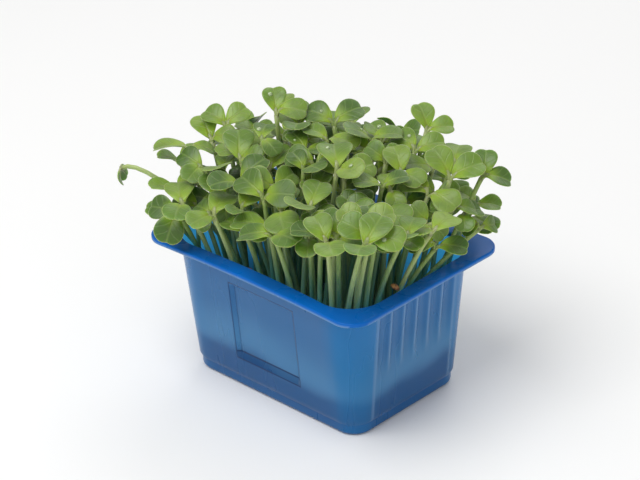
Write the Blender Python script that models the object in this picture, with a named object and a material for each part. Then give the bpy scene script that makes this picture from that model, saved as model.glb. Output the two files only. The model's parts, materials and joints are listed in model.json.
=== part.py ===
"""A tray of daikon cress: a thermoformed plastic tray, the growing mat in it, tufts of
sprouts that stand in holes in the mat, and a few fallen seed hulls.

Metres, +Z up. X runs along the long side, Y along the short side, and the origin is the
middle of the flat underside of the tray's foot.
"""

import math
import random

import bpy
import bmesh
from mathutils import Vector
from mathutils.bvhtree import BVHTree
from mathutils.geometry import intersect_ray_tri

MM = 0.001

# Tray: the wall is a core rectangle with a corner radius that grows from ledge to top.
CORE_HALF_X = 30.4 * MM
CORE_HALF_Y = 18.4 * MM
SHEET = 0.8 * MM
LEDGE_Z = 4.2 * MM
LEDGE_RADIUS = 8.2 * MM
WALL_TOP_Z = 49.6 * MM
WALL_TOP_RADIUS = 12.7 * MM
TRAY_HEIGHT = 51.0 * MM
LONG_SIDE_BOW = 1.1 * MM

FOOT_INSET = 0.9 * MM
FOOT_RADIUS = 4.5 * MM
FOOT_EDGE = 1.5 * MM

RIM_HALF_X = 48.5 * MM
RIM_HALF_Y = 36.5 * MM
RIM_RADIUS = 8.0 * MM
LIP_DEPTH = 1.6 * MM
RIM_EDGE = 0.3 * MM
NECK_FILLET = 0.6 * MM

# Flutes on the two short faces: ribs stand at the wall, channels are pressed in.
RIB_COUNT = 7
RIB_HALF_CREST = 0.75 * MM
RIB_SLOPE = 0.9 * MM
FLUTE_DEPTH = 0.9 * MM
FLUTE_FADE_Z = (20.0 * MM, 27.0 * MM, 44.8 * MM, 46.8 * MM)

# Recessed square panel on each long face.
PANEL_HALF = 14.8 * MM
PANEL_BEVEL = 1.6 * MM
PANEL_DEPTH = 1.2 * MM
PANEL_Z = (11.9 * MM, 14.4 * MM, 40.2 * MM, 41.7 * MM)
BOW_COLUMNS = (6.6 * MM, 22.5 * MM)
CORNER_STEPS = 5
FLAT_WITHIN = 0.08
TRAY_SHARP_ABOVE = 20.0

# Growing mat: it fills the foot and stands on the ledge, clear of the wall.
CLEARANCE = 0.3 * MM
MAT_HALF_X = 37.4 * MM
MAT_HALF_Y = 25.3 * MM
MAT_RADIUS = 7.0 * MM
MAT_TOP_Z = 15.6 * MM
MAT_SHOULDER = 0.9 * MM
MAT_CORNER_STEPS = 3

# Tufts: each is a root plug in its own six-sided hole, with three sprouts.
TUFT_COLUMNS = 8
TUFT_ROWS = 4
TUFT_PITCH_X = 9.2 * MM
TUFT_PITCH_Y = 12.0 * MM
TUFT_JITTER = 0.45 * MM
SPROUTS_PER_TUFT = 3
PLUG_RADIUS = 3.1 * MM
PLUG_TIP_RADIUS = 1.9 * MM
PLUG_BOTTOM_Z = 7.0 * MM
PLUG_TOP_Z = 18.0 * MM
PLUG_CROWN = 0.8
HOLE_FLOOR_Z = PLUG_BOTTOM_Z - CLEARANCE
CUT_PAST = 2.0 * MM
SOCKET_RADIUS = 1.8 * MM
ROOT_Z = MAT_TOP_Z + 0.4 * MM

# Sprouts.
STEM_HALF_BASE = 0.85 * MM
STEM_HALF_TOP = 0.70 * MM
STEM_STEPS = 3
HEADING_STEP = 0.02
STEM_LEAN = (0.05, 0.62)
STEM_CLIMB = (0.45, 0.80)
ARCH_REACH = 11.0
STALK_HALF_WIDTH = 0.55 * MM
STALK_RATIO = 0.28
STALK_OUT = 0.62
STALK_ON = 0.75
STALK_FOLLOW = 0.45
BLADE_THICKNESS = 0.66 * MM
GUARD = 0.32 * MM
BLADE_WIDTH_RATIO = 1.04
BLADE_FOLD = math.radians(16.0)
BLADE_CURL = math.radians(34.0)
LEAF_FULLNESS = 0.48
LEAF_TAPER = 0.20
BLADE_STATIONS = ((0.22, 0.10), (0.52, 0.50), (0.82, 0.89))
NOTCH = 0.08
NOTCH_HALF_WIDTH = 0.26
FRONT = math.radians(-45.5)

# The canopy's top surface: a dome that is highest a little behind the middle.
CANOPY_TOP_Z = 83.0 * MM
CANOPY_PEAK_Y = 10.0 * MM
CANOPY_FALL_X = (15.0 * MM, 50.0 * MM)
CANOPY_FALL_FRONT = (11.0 * MM, 44.0 * MM)
CANOPY_FALL_BACK = (12.0 * MM, 32.0 * MM)
CANOPY_FALL_POWERS = (2.2, 1.6)
LOWEST_HEAD_Z = 65.0 * MM
UNDERSIDE_MIDDLE_Z = 57.5 * MM
UNDERSIDE_RISE = 0.36
UNDERSIDE_ROOM = 4.0 * MM
FAN_X = 1.30
FAN_BACK = 1.42
FAN_FRONT = 1.18

# Sprouts drawn at random. Where two values stand, the second is for the last attempt.
HEAD_SPREAD = (2.0 * MM, 6.0 * MM)
HEAD_DEPTH = (7.0 * MM, 15.0 * MM)
HEAD_GAP = 5.0 * MM
PAIR_SWING = 22.0
LEAF_LENGTHS = ((10.5, 13.0), (9.2, 11.5))
LEAF_RISE = (12.0, 34.0)
EDGE_DROOP = 16.0
EDGE_LEAN = 22.0
LIGHT_LEAN = 16.0
LEAN_SWING = 12.0
YOUNG_LEAF = 0.55
YOUNG_RISE = 30.0

# How a leaf pair is fitted in among the others: the change grows with each attempt.
STEM_TRIES = 60
LEAF_TRIES = 300
NEAR_TRIES = 60
LEAF_SWING = 0.8
LEAF_FOLLOW = 0.4
LEAF_SHIFT = 0.03 * MM
LEAF_SHRINK = 0.005
LEAF_LEAST = 0.72
SEED = 41

# Sprouts that show best. Each line: head x, y, z in mm, then for both leaves the
# compass angle, length in mm, rise and lean towards the front corner, in degrees.
SHOW_SPROUTS = (
    ((-27, 8, 85), (140, 8.5, 48, 14), (30, 9.5, 10, 26)),
    ((-42, -1, 79), (195, 8.5, 32, 30), (70, 8.5, 34, 30)),
    ((-44, -6, 75), (160, 9.5, 38, 30), (20, 8.0, 24, 30)),
    ((-25, -11, 75), (135, 11.0, 46, 30), (10, 8.5, 28, 28)),
    ((-46, -14, 74), (224, 11.0, 8, -6), (36, 8.0, -2, -2)),
    ((-50, -15, 68), (80, 10.5, 24, -14), (230, 7.5, 34, 0)),
    ((-33, -33, 62), (212, 9.0, 14, 46), (-70, 10.5, -40, 34)),
    ((-37, -17, 71), (168, 10.0, 24, 36), (262, 9.5, -8, 40)),
    ((-21, -23, 67), (165, 10.5, 36, 30), (-40, 9.5, -52, 26)),
    ((-20, -28, 63), (214, 10.5, 2, 34), (-80, 9.0, -34, 26)),
    ((-22, -7, 79), (55, 11.0, 16, 26), (-90, 10.5, -8, 30)),
    ((-4, -16, 73), (190, 10.5, 24, 38), (75, 10.5, 24, 38)),
    ((4, -18, 65), (222, 11.0, 4, 22), (40, 10.0, 8, 30)),
    ((-11, 19, 82), (205, 10.0, 26, 26), (65, 10.0, 26, 26)),
    ((-1, -1, 77), (60, 10.0, 10, 40), (200, 10.0, 12, 36)),
    ((12, -1, 77), (170, 10.0, 28, 40), (60, 10.0, 22, 38)),
    ((23, -6, 70), (165, 11.0, 42, 30), (95, 11.0, 42, 26)),
    ((17, -11, 68), (200, 10.5, 14, 34), (-20, 10.0, -8, 30)),
    ((17, 33, 83), (146, 9.5, 62, 4), (36, 9.0, 16, 20)),
    ((19, 26, 79), (190, 10.0, 24, 32), (60, 10.0, 14, 30)),
    ((24, 13, 77), (150, 9.5, 48, 22), (-10, 9.0, 6, 26)),
    ((39, 20, 78), (180, 10.0, 50, 22), (52, 10.5, 28, 30)),
    ((44, 29, 77), (100, 9.5, 52, 14), (24, 10.0, -4, 24)),
    ((18, 12, 79), (195, 10.5, 12, 28), (40, 9.0, 18, 20)),
    ((35, 14, 73), (195, 10.0, 18, 30), (0, 10.0, -4, 28)),
    ((42, 17, 71), (40, 9.5, -2, 26), (205, 9.0, 10, 24)),
    ((45, 20, 67), (80, 8.5, 8, 36), (-40, 8.5, -10, 26)),
    ((48, 23, 62), (214, 8.5, -6, 46), (44, 8.5, -8, 46)),
    ((42, 11, 67), (160, 10.0, 28, 40), (20, 9.5, 4, 34)),
    ((27, 8, 73), (185, 10.0, 8, 26), (10, 10.0, -8, 22)),
    ((30, 1, 69), (60, 10.0, 30, 8), (220, 9.5, 6, 14)),
    ((29, -9, 63), (190, 10.0, 16, 4), (40, 10.5, 16, 0)),
    ((21, -14, 64), (250, 9.5, -30, 20), (130, 9.0, 14, 20)),
    ((44, 7, 60), (230, 9.0, 2, 22), (30, 9.0, 8, 18)),
    ((-8, -27, 62), (215, 10.0, 6, 24), (45, 10.0, 2, 28)),
    ((6, 25, 80), (150, 10.0, 30, 10), (20, 10.0, 12, 24)),
    ((-34, 20, 78), (150, 10.0, 20, 10), (-30, 10.0, 10, 26)),
    ((31, 30, 76), (120, 10.0, 18, 8), (-20, 10.0, 10, 24)),
    ((-14, 30, 76), (120, 10.0, 16, 0), (-60, 10.0, 22, 16)),
)

# One sprout has strayed past the left end of the tray and hangs its closed leaves.
STRAY_HEAD = (-65, -29, 67)
STRAY_LEAVES = ((128, 6.0, -55, 75), (308, 5.4, -60, 75))
STRAY_LEAN_TO = math.radians(218.0)
STRAY_ARCH = 18.0 * MM

# Seed hulls that lie on the mat between the tufts: x, y in mm and turn in degrees.
HULLS = ((-18.4, -12.0, 20), (0.3, -12.2, 75), (18.2, -11.9, 140), (27.7, 0.2, 35), (-9.3, 12.1, 110))
HULL_HALF_LENGTH = 1.7 * MM
HULL_HALF_WIDTH = 1.25 * MM
HULL_HALF_HEIGHT = 1.0 * MM
HULL_FLAT = 0.55


def clear_scene():
    """Starts from an empty scene."""
    for old in list(bpy.data.objects):
        bpy.data.objects.remove(old, do_unlink=True)


def make_material(name, colour, roughness, metallic=0.0, alpha=1.0):
    """A plain material of one colour for one kind of piece."""
    material = bpy.data.materials.new(name)
    material.use_nodes = True
    shader = material.node_tree.nodes["Principled BSDF"]
    shader.inputs["Base Color"].default_value = (*colour, 1.0)
    shader.inputs["Roughness"].default_value = roughness
    shader.inputs["Metallic"].default_value = metallic
    shader.inputs["Alpha"].default_value = alpha
    material.diffuse_color = (*colour, alpha)
    return material


def make_object(name, points, faces, material):
    """A mesh object of the given points and faces."""
    mesh = bpy.data.meshes.new(name)
    mesh.from_pydata([tuple(point) for point in points], [], faces)
    mesh.materials.append(material)
    mesh.update()
    body = bpy.data.objects.new(name, mesh)
    bpy.context.collection.objects.link(body)
    return body


def blend(low, high, share):
    """The value a share of the way from low to high."""
    return low + (high - low) * share


def ramp(value, start, end):
    """0 up to start, 1 from end on, straight between."""
    return min(1.0, max(0.0, (value - start) / (end - start)))


def short_face_columns():
    """Columns of a short face: their share of the way along Y and of the flute depth."""
    pitch = 2.0 * CORE_HALF_Y / (RIB_COUNT - 1)
    columns = []
    for channel in range(RIB_COUNT - 1):
        left = -CORE_HALF_Y + channel * pitch
        right = left + pitch
        columns.append((left + RIB_HALF_CREST, 0.0))
        columns.append((left + RIB_HALF_CREST + RIB_SLOPE, 1.0))
        columns.append((right - RIB_HALF_CREST - RIB_SLOPE, 1.0))
        columns.append((right - RIB_HALF_CREST, 0.0))
    return [(y / CORE_HALF_Y, depth) for y, depth in columns]


def long_face_columns():
    """Columns of a long face: their share of the way along X and of the panel depth."""
    inner = PANEL_HALF - PANEL_BEVEL
    half = [(BOW_COLUMNS[0], 1.0), (inner, 1.0), (PANEL_HALF, 0.0), (BOW_COLUMNS[1], 0.0)]
    columns = [(-x, depth) for x, depth in reversed(half)] + [(0.0, 1.0)] + half
    return [(x / CORE_HALF_X, depth) for x, depth in columns]


def tray_ring(z, half_x, half_y, radius, flute=0.0, panel=0.0, bow=0.0):
    """One ring of the tray's skin, counterclockwise seen from above."""
    core_x = half_x - radius
    core_y = half_y - radius
    ring = []

    def face(columns, core, half, pressed, bowed, place):
        for share, depth in columns:
            inward = depth * pressed + bowed * (1.0 - share * share)
            ring.append(place(half - inward, share * core))

    def corner(centre_x, centre_y, start):
        for step in range(CORNER_STEPS + 1):
            angle = math.radians(start + 90.0 * step / CORNER_STEPS)
            x = centre_x + radius * math.cos(angle)
            y = centre_y + radius * math.sin(angle)
            ring.append(Vector((x, y, z)))

    face(short_face_columns(), core_y, half_x, flute, 0.0, lambda out, t: Vector((out, t, z)))
    corner(core_x, core_y, 0.0)
    face(long_face_columns(), core_x, half_y, panel, bow, lambda out, t: Vector((-t, out, z)))
    corner(-core_x, core_y, 90.0)
    face(short_face_columns(), core_y, half_x, flute, 0.0, lambda out, t: Vector((-out, -t, z)))
    corner(-core_x, -core_y, 180.0)
    face(long_face_columns(), core_x, half_y, panel, bow, lambda out, t: Vector((t, -out, z)))
    corner(core_x, -core_y, 270.0)
    return ring


def wall_ring(z, inset):
    """A ring of the wall, on the outside with no inset and inside with the sheet's."""
    share = ramp(z, LEDGE_Z, WALL_TOP_Z)
    radius = blend(LEDGE_RADIUS, WALL_TOP_RADIUS, share) - inset
    rise = ramp(z, FLUTE_FADE_Z[0], FLUTE_FADE_Z[1])
    fall = 1.0 - ramp(z, FLUTE_FADE_Z[2], FLUTE_FADE_Z[3])
    flute = FLUTE_DEPTH * min(rise, fall)
    panel = PANEL_DEPTH if PANEL_Z[1] <= z <= PANEL_Z[2] else 0.0
    half_x = CORE_HALF_X + radius
    half_y = CORE_HALF_Y + radius
    return tray_ring(z, half_x, half_y, radius, flute, panel, LONG_SIDE_BOW * share)


def rim_ring(z, inset):
    """A ring of the flange's outer edge."""
    half_x = RIM_HALF_X - inset
    half_y = RIM_HALF_Y - inset
    return tray_ring(z, half_x, half_y, RIM_RADIUS - inset, bow=LONG_SIDE_BOW)


def neck_ring(z, outset):
    """A ring where the wall turns out into the flange."""
    radius = WALL_TOP_RADIUS + outset
    half_x = CORE_HALF_X + radius
    half_y = CORE_HALF_Y + radius
    return tray_ring(z, half_x, half_y, radius, bow=LONG_SIDE_BOW)


def foot_ring(z, inset):
    """A ring of the foot below the ledge."""
    half_x = CORE_HALF_X + LEDGE_RADIUS - FOOT_INSET - inset
    half_y = CORE_HALF_Y + LEDGE_RADIUS - FOOT_INSET - inset
    return tray_ring(z, half_x, half_y, FOOT_RADIUS - inset)


def tray_rings():
    """All rings of the closed skin: up the outside, over the flange and down the inside."""
    heights = sorted({LEDGE_Z, *PANEL_Z, *FLUTE_FADE_Z, WALL_TOP_Z})
    under = TRAY_HEIGHT - SHEET
    rings = [foot_ring(0.0, FOOT_EDGE), foot_ring(FOOT_EDGE, 0.0), foot_ring(LEDGE_Z - RIM_EDGE, 0.0)]
    rings += [wall_ring(z, 0.0) for z in heights]
    rings.append(neck_ring(under, NECK_FILLET))
    rings.append(rim_ring(under, SHEET))
    rings.append(rim_ring(TRAY_HEIGHT - LIP_DEPTH, SHEET))
    rings.append(rim_ring(TRAY_HEIGHT - LIP_DEPTH, 0.0))
    rings.append(rim_ring(TRAY_HEIGHT - RIM_EDGE, 0.0))
    rings.append(rim_ring(TRAY_HEIGHT, RIM_EDGE))
    rings.append(neck_ring(TRAY_HEIGHT, NECK_FILLET - SHEET * 0.5))
    rings.append(neck_ring(under, -SHEET))
    rings += [wall_ring(z, SHEET) for z in reversed(heights[1:-1])]
    rings.append(wall_ring(LEDGE_Z + SHEET, SHEET))
    rings.append(foot_ring(LEDGE_Z + SHEET - RIM_EDGE, SHEET))
    rings.append(foot_ring(SHEET + FOOT_EDGE, SHEET))
    rings.append(foot_ring(SHEET, SHEET + FOOT_EDGE))
    return rings


def skin(rings):
    """Points and faces of a closed body through rings of equal length, capped at both ends."""
    count = len(rings[0])
    points = [point for ring in rings for point in ring]
    faces = [tuple(reversed(range(count)))]
    for row in range(len(rings) - 1):
        for column in range(count):
            a = row * count + column
            b = row * count + (column + 1) % count
            faces.append((a, b, b + count, a + count))
    last = (len(rings) - 1) * count
    faces.append(tuple(range(last, last + count)))
    return points, faces


def simplify(body, angle):
    """Joins faces that lie in one plane, so only real edges are left."""
    mesh = bmesh.new()
    mesh.from_mesh(body.data)
    bmesh.ops.dissolve_limit(mesh, angle_limit=angle, verts=mesh.verts, edges=mesh.edges)
    bmesh.ops.triangulate(mesh, faces=mesh.faces)
    mesh.to_mesh(body.data)
    mesh.free()


def shade(body, angle=math.radians(30.0)):
    """Rounds the shading between faces that meet at less than the angle."""
    body.data.shade_smooth()
    body.data.set_sharp_from_angle(angle=angle)


def build_tray(material):
    """The thermoformed tray."""
    points, faces = skin(tray_rings())
    tray = make_object("tray", points, faces, material)
    simplify(tray, math.radians(FLAT_WITHIN))
    shade(tray, math.radians(TRAY_SHARP_ABOVE))


def rounded_ring(z, half_x, half_y, radius, steps):
    """A plain rounded rectangle, counterclockwise seen from above."""
    ring = []
    for sign_x, sign_y, start in ((1, 1, 0), (-1, 1, 90), (-1, -1, 180), (1, -1, 270)):
        for step in range(steps + 1):
            angle = math.radians(start + 90.0 * step / steps)
            x = sign_x * (half_x - radius) + radius * math.cos(angle)
            y = sign_y * (half_y - radius) + radius * math.sin(angle)
            ring.append(Vector((x, y, z)))
    return ring


def mat_rings():
    """The mat's rings: it fills the foot, steps out over the ledge and has a soft top edge."""
    foot = SHEET + FOOT_EDGE + CLEARANCE
    foot_x = CORE_HALF_X + LEDGE_RADIUS - FOOT_INSET - foot
    foot_y = CORE_HALF_Y + LEDGE_RADIUS - FOOT_INSET - foot
    foot_radius = FOOT_RADIUS - foot
    step_z = LEDGE_Z + SHEET + CLEARANCE
    soft = MAT_SHOULDER
    return [
        rounded_ring(SHEET + CLEARANCE, foot_x, foot_y, foot_radius, MAT_CORNER_STEPS),
        rounded_ring(step_z, foot_x, foot_y, foot_radius, MAT_CORNER_STEPS),
        rounded_ring(step_z, MAT_HALF_X, MAT_HALF_Y, MAT_RADIUS, MAT_CORNER_STEPS),
        rounded_ring(MAT_TOP_Z - soft, MAT_HALF_X, MAT_HALF_Y, MAT_RADIUS, MAT_CORNER_STEPS),
        rounded_ring(MAT_TOP_Z, MAT_HALF_X - soft, MAT_HALF_Y - soft, MAT_RADIUS - soft, MAT_CORNER_STEPS),
    ]


def hexagon(centre, radius, z):
    """A six-sided ring about a centre."""
    ring = []
    for step in range(6):
        angle = math.radians(60.0 * step)
        x = centre.x + radius * math.cos(angle)
        y = centre.y + radius * math.sin(angle)
        ring.append(Vector((x, y, z)))
    return ring


def plug_radius(z):
    """The root plug narrows towards its lower end."""
    return blend(PLUG_TIP_RADIUS, PLUG_RADIUS, ramp(z, PLUG_BOTTOM_Z, MAT_TOP_Z))


def build_mat(centres, material):
    """The mat, with one plain blind hole for each tuft."""
    points, faces = skin(mat_rings())
    mat = make_object("growing_mat", points, faces, material)
    cut_points = []
    cut_faces = []
    over = MAT_TOP_Z + CUT_PAST
    gap = CLEARANCE / math.cos(math.radians(30.0))
    for centre in centres:
        low = hexagon(centre, plug_radius(HOLE_FLOOR_Z) + gap, HOLE_FLOOR_Z)
        high = hexagon(centre, PLUG_RADIUS + gap, MAT_TOP_Z)
        top = hexagon(centre, PLUG_RADIUS + gap, over)
        hole_points, hole_faces = skin([low, high, top])
        offset = len(cut_points)
        cut_points += hole_points
        cut_faces += [tuple(index + offset for index in face) for face in hole_faces]
    cutter = make_object("mat_hole_cutter", cut_points, cut_faces, material)
    cutter.hide_render = True
    cutter.display_type = "WIRE"
    holes = mat.modifiers.new("holes", "BOOLEAN")
    holes.operation = "DIFFERENCE"
    holes.object = cutter
    holes.solver = "EXACT"
    return mat


def tuft_centres(draw):
    """The tufts' middles, on a grid that is slightly out of line."""
    centres = []
    for row in range(TUFT_ROWS):
        for column in range(TUFT_COLUMNS):
            x = (column - (TUFT_COLUMNS - 1) / 2.0) * TUFT_PITCH_X
            y = (row - (TUFT_ROWS - 1) / 2.0) * TUFT_PITCH_Y
            x += draw.uniform(-TUFT_JITTER, TUFT_JITTER)
            y += draw.uniform(-TUFT_JITTER, TUFT_JITTER)
            centres.append(Vector((x, y, 0.0)))
    return centres


def heading(angle, rise=0.0):
    """A unit vector at a compass angle, raised from level."""
    level = math.cos(rise)
    return Vector((math.cos(angle) * level, math.sin(angle) * level, math.sin(rise)))


def canopy_height(x, y):
    """How high the leaves stand over a place."""
    fall_x = CANOPY_FALL_X[0] * (abs(x) / CANOPY_FALL_X[1]) ** CANOPY_FALL_POWERS[0]
    behind = y - CANOPY_PEAK_Y
    drop, reach = CANOPY_FALL_BACK if behind > 0.0 else CANOPY_FALL_FRONT
    return CANOPY_TOP_Z - fall_x - drop * (abs(behind) / reach) ** CANOPY_FALL_POWERS[1]


def canopy_underside(x, y):
    """The lowest place of a head: it rises to the front corner, where the bare stems show."""
    toward = Vector((x, y, 0.0)).dot(heading(FRONT))
    return max(LOWEST_HEAD_Z, UNDERSIDE_MIDDLE_Z + UNDERSIDE_RISE * toward)


def stem_curve(root, head, arch, share):
    """A point on the stem, which rises steeply and then leans towards its head."""
    height = head.z - root.z
    lean = Vector((head.x - root.x, head.y - root.y, 0.0))
    first = root + lean * STEM_LEAN[0] + Vector((0, 0, height * STEM_CLIMB[0]))
    second = root + lean * (STEM_LEAN[1] + ARCH_REACH * arch)
    second.z += height * STEM_CLIMB[1] + arch
    rest = 1.0 - share
    return (rest ** 3 * root + 3 * rest ** 2 * share * first
            + 3 * rest * share ** 2 * second + share ** 3 * head)


def outline(share):
    """Half of a seed leaf's edge from its stalk to its notch: forward and sideways shares."""
    angle = math.pi * share
    side = LEAF_FULLNESS * math.sin(angle) * (1.0 - LEAF_TAPER * math.cos(angle))
    forward = 0.5 - 0.5 * math.cos(angle)
    if share > 0.5:
        forward -= NOTCH * max(0.0, 1.0 - side / NOTCH_HALF_WIDTH) ** 1.3
    return forward, side


def leaf_frame(leaf):
    """The directions of a leaf: forward along its midrib, to its left, and up from it."""
    turn, length, rise, lean, lean_to = leaf
    forward = heading(turn, rise)
    tilted = Vector((0, 0, 1)) + math.tan(lean) * heading(lean_to)
    normal = (tilted - forward * tilted.dot(forward)).normalized()
    return forward, normal.cross(forward), normal


def leaf_point(base, frame, length, forward, side, lift):
    """A point of a leaf that is folded along its midrib and curls down to its tip."""
    bend = length / BLADE_CURL
    along = bend * math.sin(forward / bend)
    drop = bend * (1.0 - math.cos(forward / bend))
    across = side * math.cos(BLADE_FOLD)
    up = abs(side) * math.sin(BLADE_FOLD) - drop + lift
    return base + frame[0] * along + frame[1] * across + frame[2] * up


def stem_heading(root, head, arch, share):
    """The direction in which the stem grows at a share of its length."""
    after = stem_curve(root, head, arch, share + HEADING_STEP)
    return (after - stem_curve(root, head, arch, share - HEADING_STEP)).normalized()


def stalk_heading(leaf, stem_end):
    """A leaf's stalk leaves the fork outwards and onwards, less so where the leaf hangs."""
    turn, length, rise = leaf[:3]
    return (heading(turn) * STALK_OUT + stem_end * (STALK_ON + STALK_FOLLOW * rise)).normalized()


def leaf_rings(head, stem_end, leaf, guard):
    """A leaf's cross-sections from the end of its stalk to its lobes, six points each."""
    length = leaf[1]
    frame = leaf_frame(leaf)
    onward = stalk_heading(leaf, stem_end)
    start = head + onward * length * STALK_RATIO
    width = length * BLADE_WIDTH_RATIO
    half = BLADE_THICKNESS / 2.0 + guard
    across = frame[1] * (STALK_HALF_WIDTH + guard)
    up = (onward + frame[0]).cross(frame[1]).normalized() * half
    rings = [[start + across + up, start - across + up, start - across - up, start + across - up]]
    for share, middle in BLADE_STATIONS:
        forward, side = outline(share)
        forward = forward * length + guard
        side = side * width + guard
        middle *= length
        rings.append([
            leaf_point(start, frame, length, forward, side, half),
            leaf_point(start, frame, length, middle, 0.0, half),
            leaf_point(start, frame, length, forward, -side, half),
            leaf_point(start, frame, length, forward, -side, -half),
            leaf_point(start, frame, length, middle, 0.0, -half),
            leaf_point(start, frame, length, forward, side, -half),
        ])
    return rings


def stem_mesh(sprout, guard=0.0):
    """Points and side faces of a four-sided stem, with its lower end closed."""
    root, head, leaves, arch = sprout
    points = []
    faces = [(3, 2, 1, 0)]
    apart = (heading(leaves[0][0]) - heading(leaves[1][0])).normalized()
    for step in range(STEM_STEPS + 1):
        share = step / STEM_STEPS
        centre = stem_curve(root, head, arch, share)
        half = blend(STEM_HALF_BASE, STEM_HALF_TOP, share) + guard
        onward = stem_heading(root, head, arch, share)
        side = (apart - onward * apart.dot(onward)).normalized() * half
        width = onward.cross(side).normalized() * half
        points += [centre - side - width, centre + side - width]
        points += [centre + side + width, centre - side + width]
    points += [centre - width, centre + width]
    for low in range(0, STEM_STEPS * 4, 4):
        for corner in range(4):
            after = (corner + 1) % 4
            faces.append((low + corner, low + after, low + after + 4, low + corner + 4))
    return points, faces


def sprout_mesh(sprout, guard=0.0):
    """Points and faces of one sprout: a stem that forks into two leaves."""
    points, faces = stem_mesh(sprout, guard)
    top = STEM_STEPS * 4
    faces = split_top_sides(faces, top)
    seats = ((top + 5, top + 4, top + 1, top + 2), (top + 4, top + 5, top + 3, top))
    root, head, leaves, arch = sprout
    stem_end = stem_heading(root, head, arch, 1.0)
    for leaf, seat in zip(leaves, seats):
        grow_leaf(points, faces, seat, leaf_rings(head, stem_end, leaf, guard))
    return points, as_triangles(points, faces)


def split_top_sides(faces, top):
    """The two stem sides that meet the fork take its middle point on their top edge."""
    middles = {(top, top + 1): top + 4, (top + 2, top + 3): top + 5}
    result = []
    for face in faces:
        middle = middles.get((face[3], face[2]))
        if middle is None:
            result.append(face)
            continue
        low_left, low_right, high_right, high_left = face
        result.append((middle, high_left, low_left))
        result.append((middle, low_left, low_right))
        result.append((middle, low_right, high_right))
    return result


def as_triangles(points, faces):
    """Splits every four-sided face along its shorter diagonal."""
    result = []
    for face in faces:
        if len(face) == 3:
            result.append(face)
            continue
        a, b, c, d = face
        if (points[a] - points[c]).length <= (points[b] - points[d]).length:
            result += [(a, b, c), (a, c, d)]
        else:
            result += [(a, b, d), (b, c, d)]
    return result


def grow_leaf(points, faces, seat, rings):
    """Joins a leaf to its seat on the fork: upper left, upper right, lower right, lower left."""
    start = len(points)
    points += rings[0]
    stalk = tuple(range(start, start + 4))
    for corner in range(4):
        after = (corner + 1) % 4
        faces.append((seat[corner], seat[after], stalk[after], stalk[corner]))
    start = len(points)
    for ring in rings[1:]:
        points += ring
    left_top, top, right_top, right_low, low, left_low = range(start, start + 6)
    faces.append((stalk[0], stalk[1], top))
    faces.append((stalk[0], top, left_top))
    faces.append((stalk[1], right_top, top))
    faces.append((stalk[1], stalk[2], right_low, right_top))
    faces.append((stalk[2], low, right_low))
    faces.append((stalk[2], stalk[3], low))
    faces.append((stalk[3], left_low, low))
    faces.append((stalk[3], stalk[0], left_top, left_low))
    for band in range(len(rings) - 2):
        base = start + band * 6
        for corner in range(6):
            after = (corner + 1) % 6
            add_even_pair(faces, base, corner, after)
    last = start + (len(rings) - 2) * 6
    faces.append((last, last + 1, last + 4, last + 5))
    faces.append((last + 1, last + 2, last + 3, last + 4))


def add_even_pair(faces, base, corner, after):
    """Splits one side of a blade's band, alike on its upper and its lower face."""
    a, b = base + corner, base + after
    c, d = b + 6, a + 6
    if corner in (0, 3):
        faces.append((a, b, c))
        faces.append((a, c, d))
    else:
        faces.append((a, b, d))
        faces.append((b, c, d))


def leaf(turn, length, rise, lean, lean_to):
    """A leaf's directions in radians and its length in metres."""
    return (math.radians(turn), length * MM, math.radians(rise), math.radians(lean), lean_to)


def tree_of(points, faces):
    """A search tree for crossings."""
    return BVHTree.FromPolygons(points, faces)


def corners_of(points):
    """The lowest and the highest corner of the box round some points."""
    low = [min(point[axis] for point in points) for axis in range(3)]
    high = [max(point[axis] for point in points) for axis in range(3)]
    return low, high


def edge_meets(start, end, triangle):
    """Whether an edge passes through a triangle."""
    way = end - start
    hit = intersect_ray_tri(*triangle, way, start, True)
    return hit is not None and 0.0 < (hit - start).dot(way) < way.dot(way)


def crosses_itself(sprout):
    """Whether triangles of a sprout cross, other than along an edge that they share."""
    points, faces = sprout_mesh(sprout)
    tree = tree_of(points, faces)
    for one, other in tree.overlap(tree):
        shared = set(faces[one]) & set(faces[other])
        if len(shared) == 0:
            return True
        if len(shared) == 1:
            start, end = (points[corner] for corner in faces[one] if corner not in shared)
            if edge_meets(start, end, [points[corner] for corner in faces[other]]):
                return True
    return False


def entry(tuft, sprout, mesh):
    """A placed mesh with its search tree and its box."""
    points, faces = mesh
    low, high = corners_of(points)
    return {"tuft": tuft, "sprout": sprout, "tree": tree_of(points, faces), "low": low, "high": high}


def is_clear(mesh, others):
    """Whether a mesh meets none of the placed ones."""
    points, faces = mesh
    low, high = corners_of(points)
    tree = tree_of(points, faces)
    for other in others:
        apart = any(low[axis] > other["high"][axis] or high[axis] < other["low"][axis]
                    for axis in range(3))
        if not apart and tree.overlap(other["tree"]):
            return False
    return True


def sockets_of(centres, draw):
    """Three rooting points on each tuft's plug."""
    sockets = []
    for tuft, centre in enumerate(centres):
        start = draw.uniform(0.0, math.tau)
        for number in range(SPROUTS_PER_TUFT):
            around = start + math.tau * number / SPROUTS_PER_TUFT
            spot = centre + heading(around) * SOCKET_RADIUS
            sockets.append((tuft, Vector((spot.x, spot.y, ROOT_Z))))
    return sockets


def fan_y(y):
    """How much wider than the roots the heads stand along Y, at the front or the back."""
    return FAN_BACK if y > 0.0 else FAN_FRONT


def nearest_sockets(sockets, head):
    """Free sockets, from the one under the place that a head leans out from."""
    under = Vector((head.x / FAN_X, head.y / fan_y(head.y), ROOT_Z))
    return sorted(sockets, key=lambda socket: (socket[1] - under).length)


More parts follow.
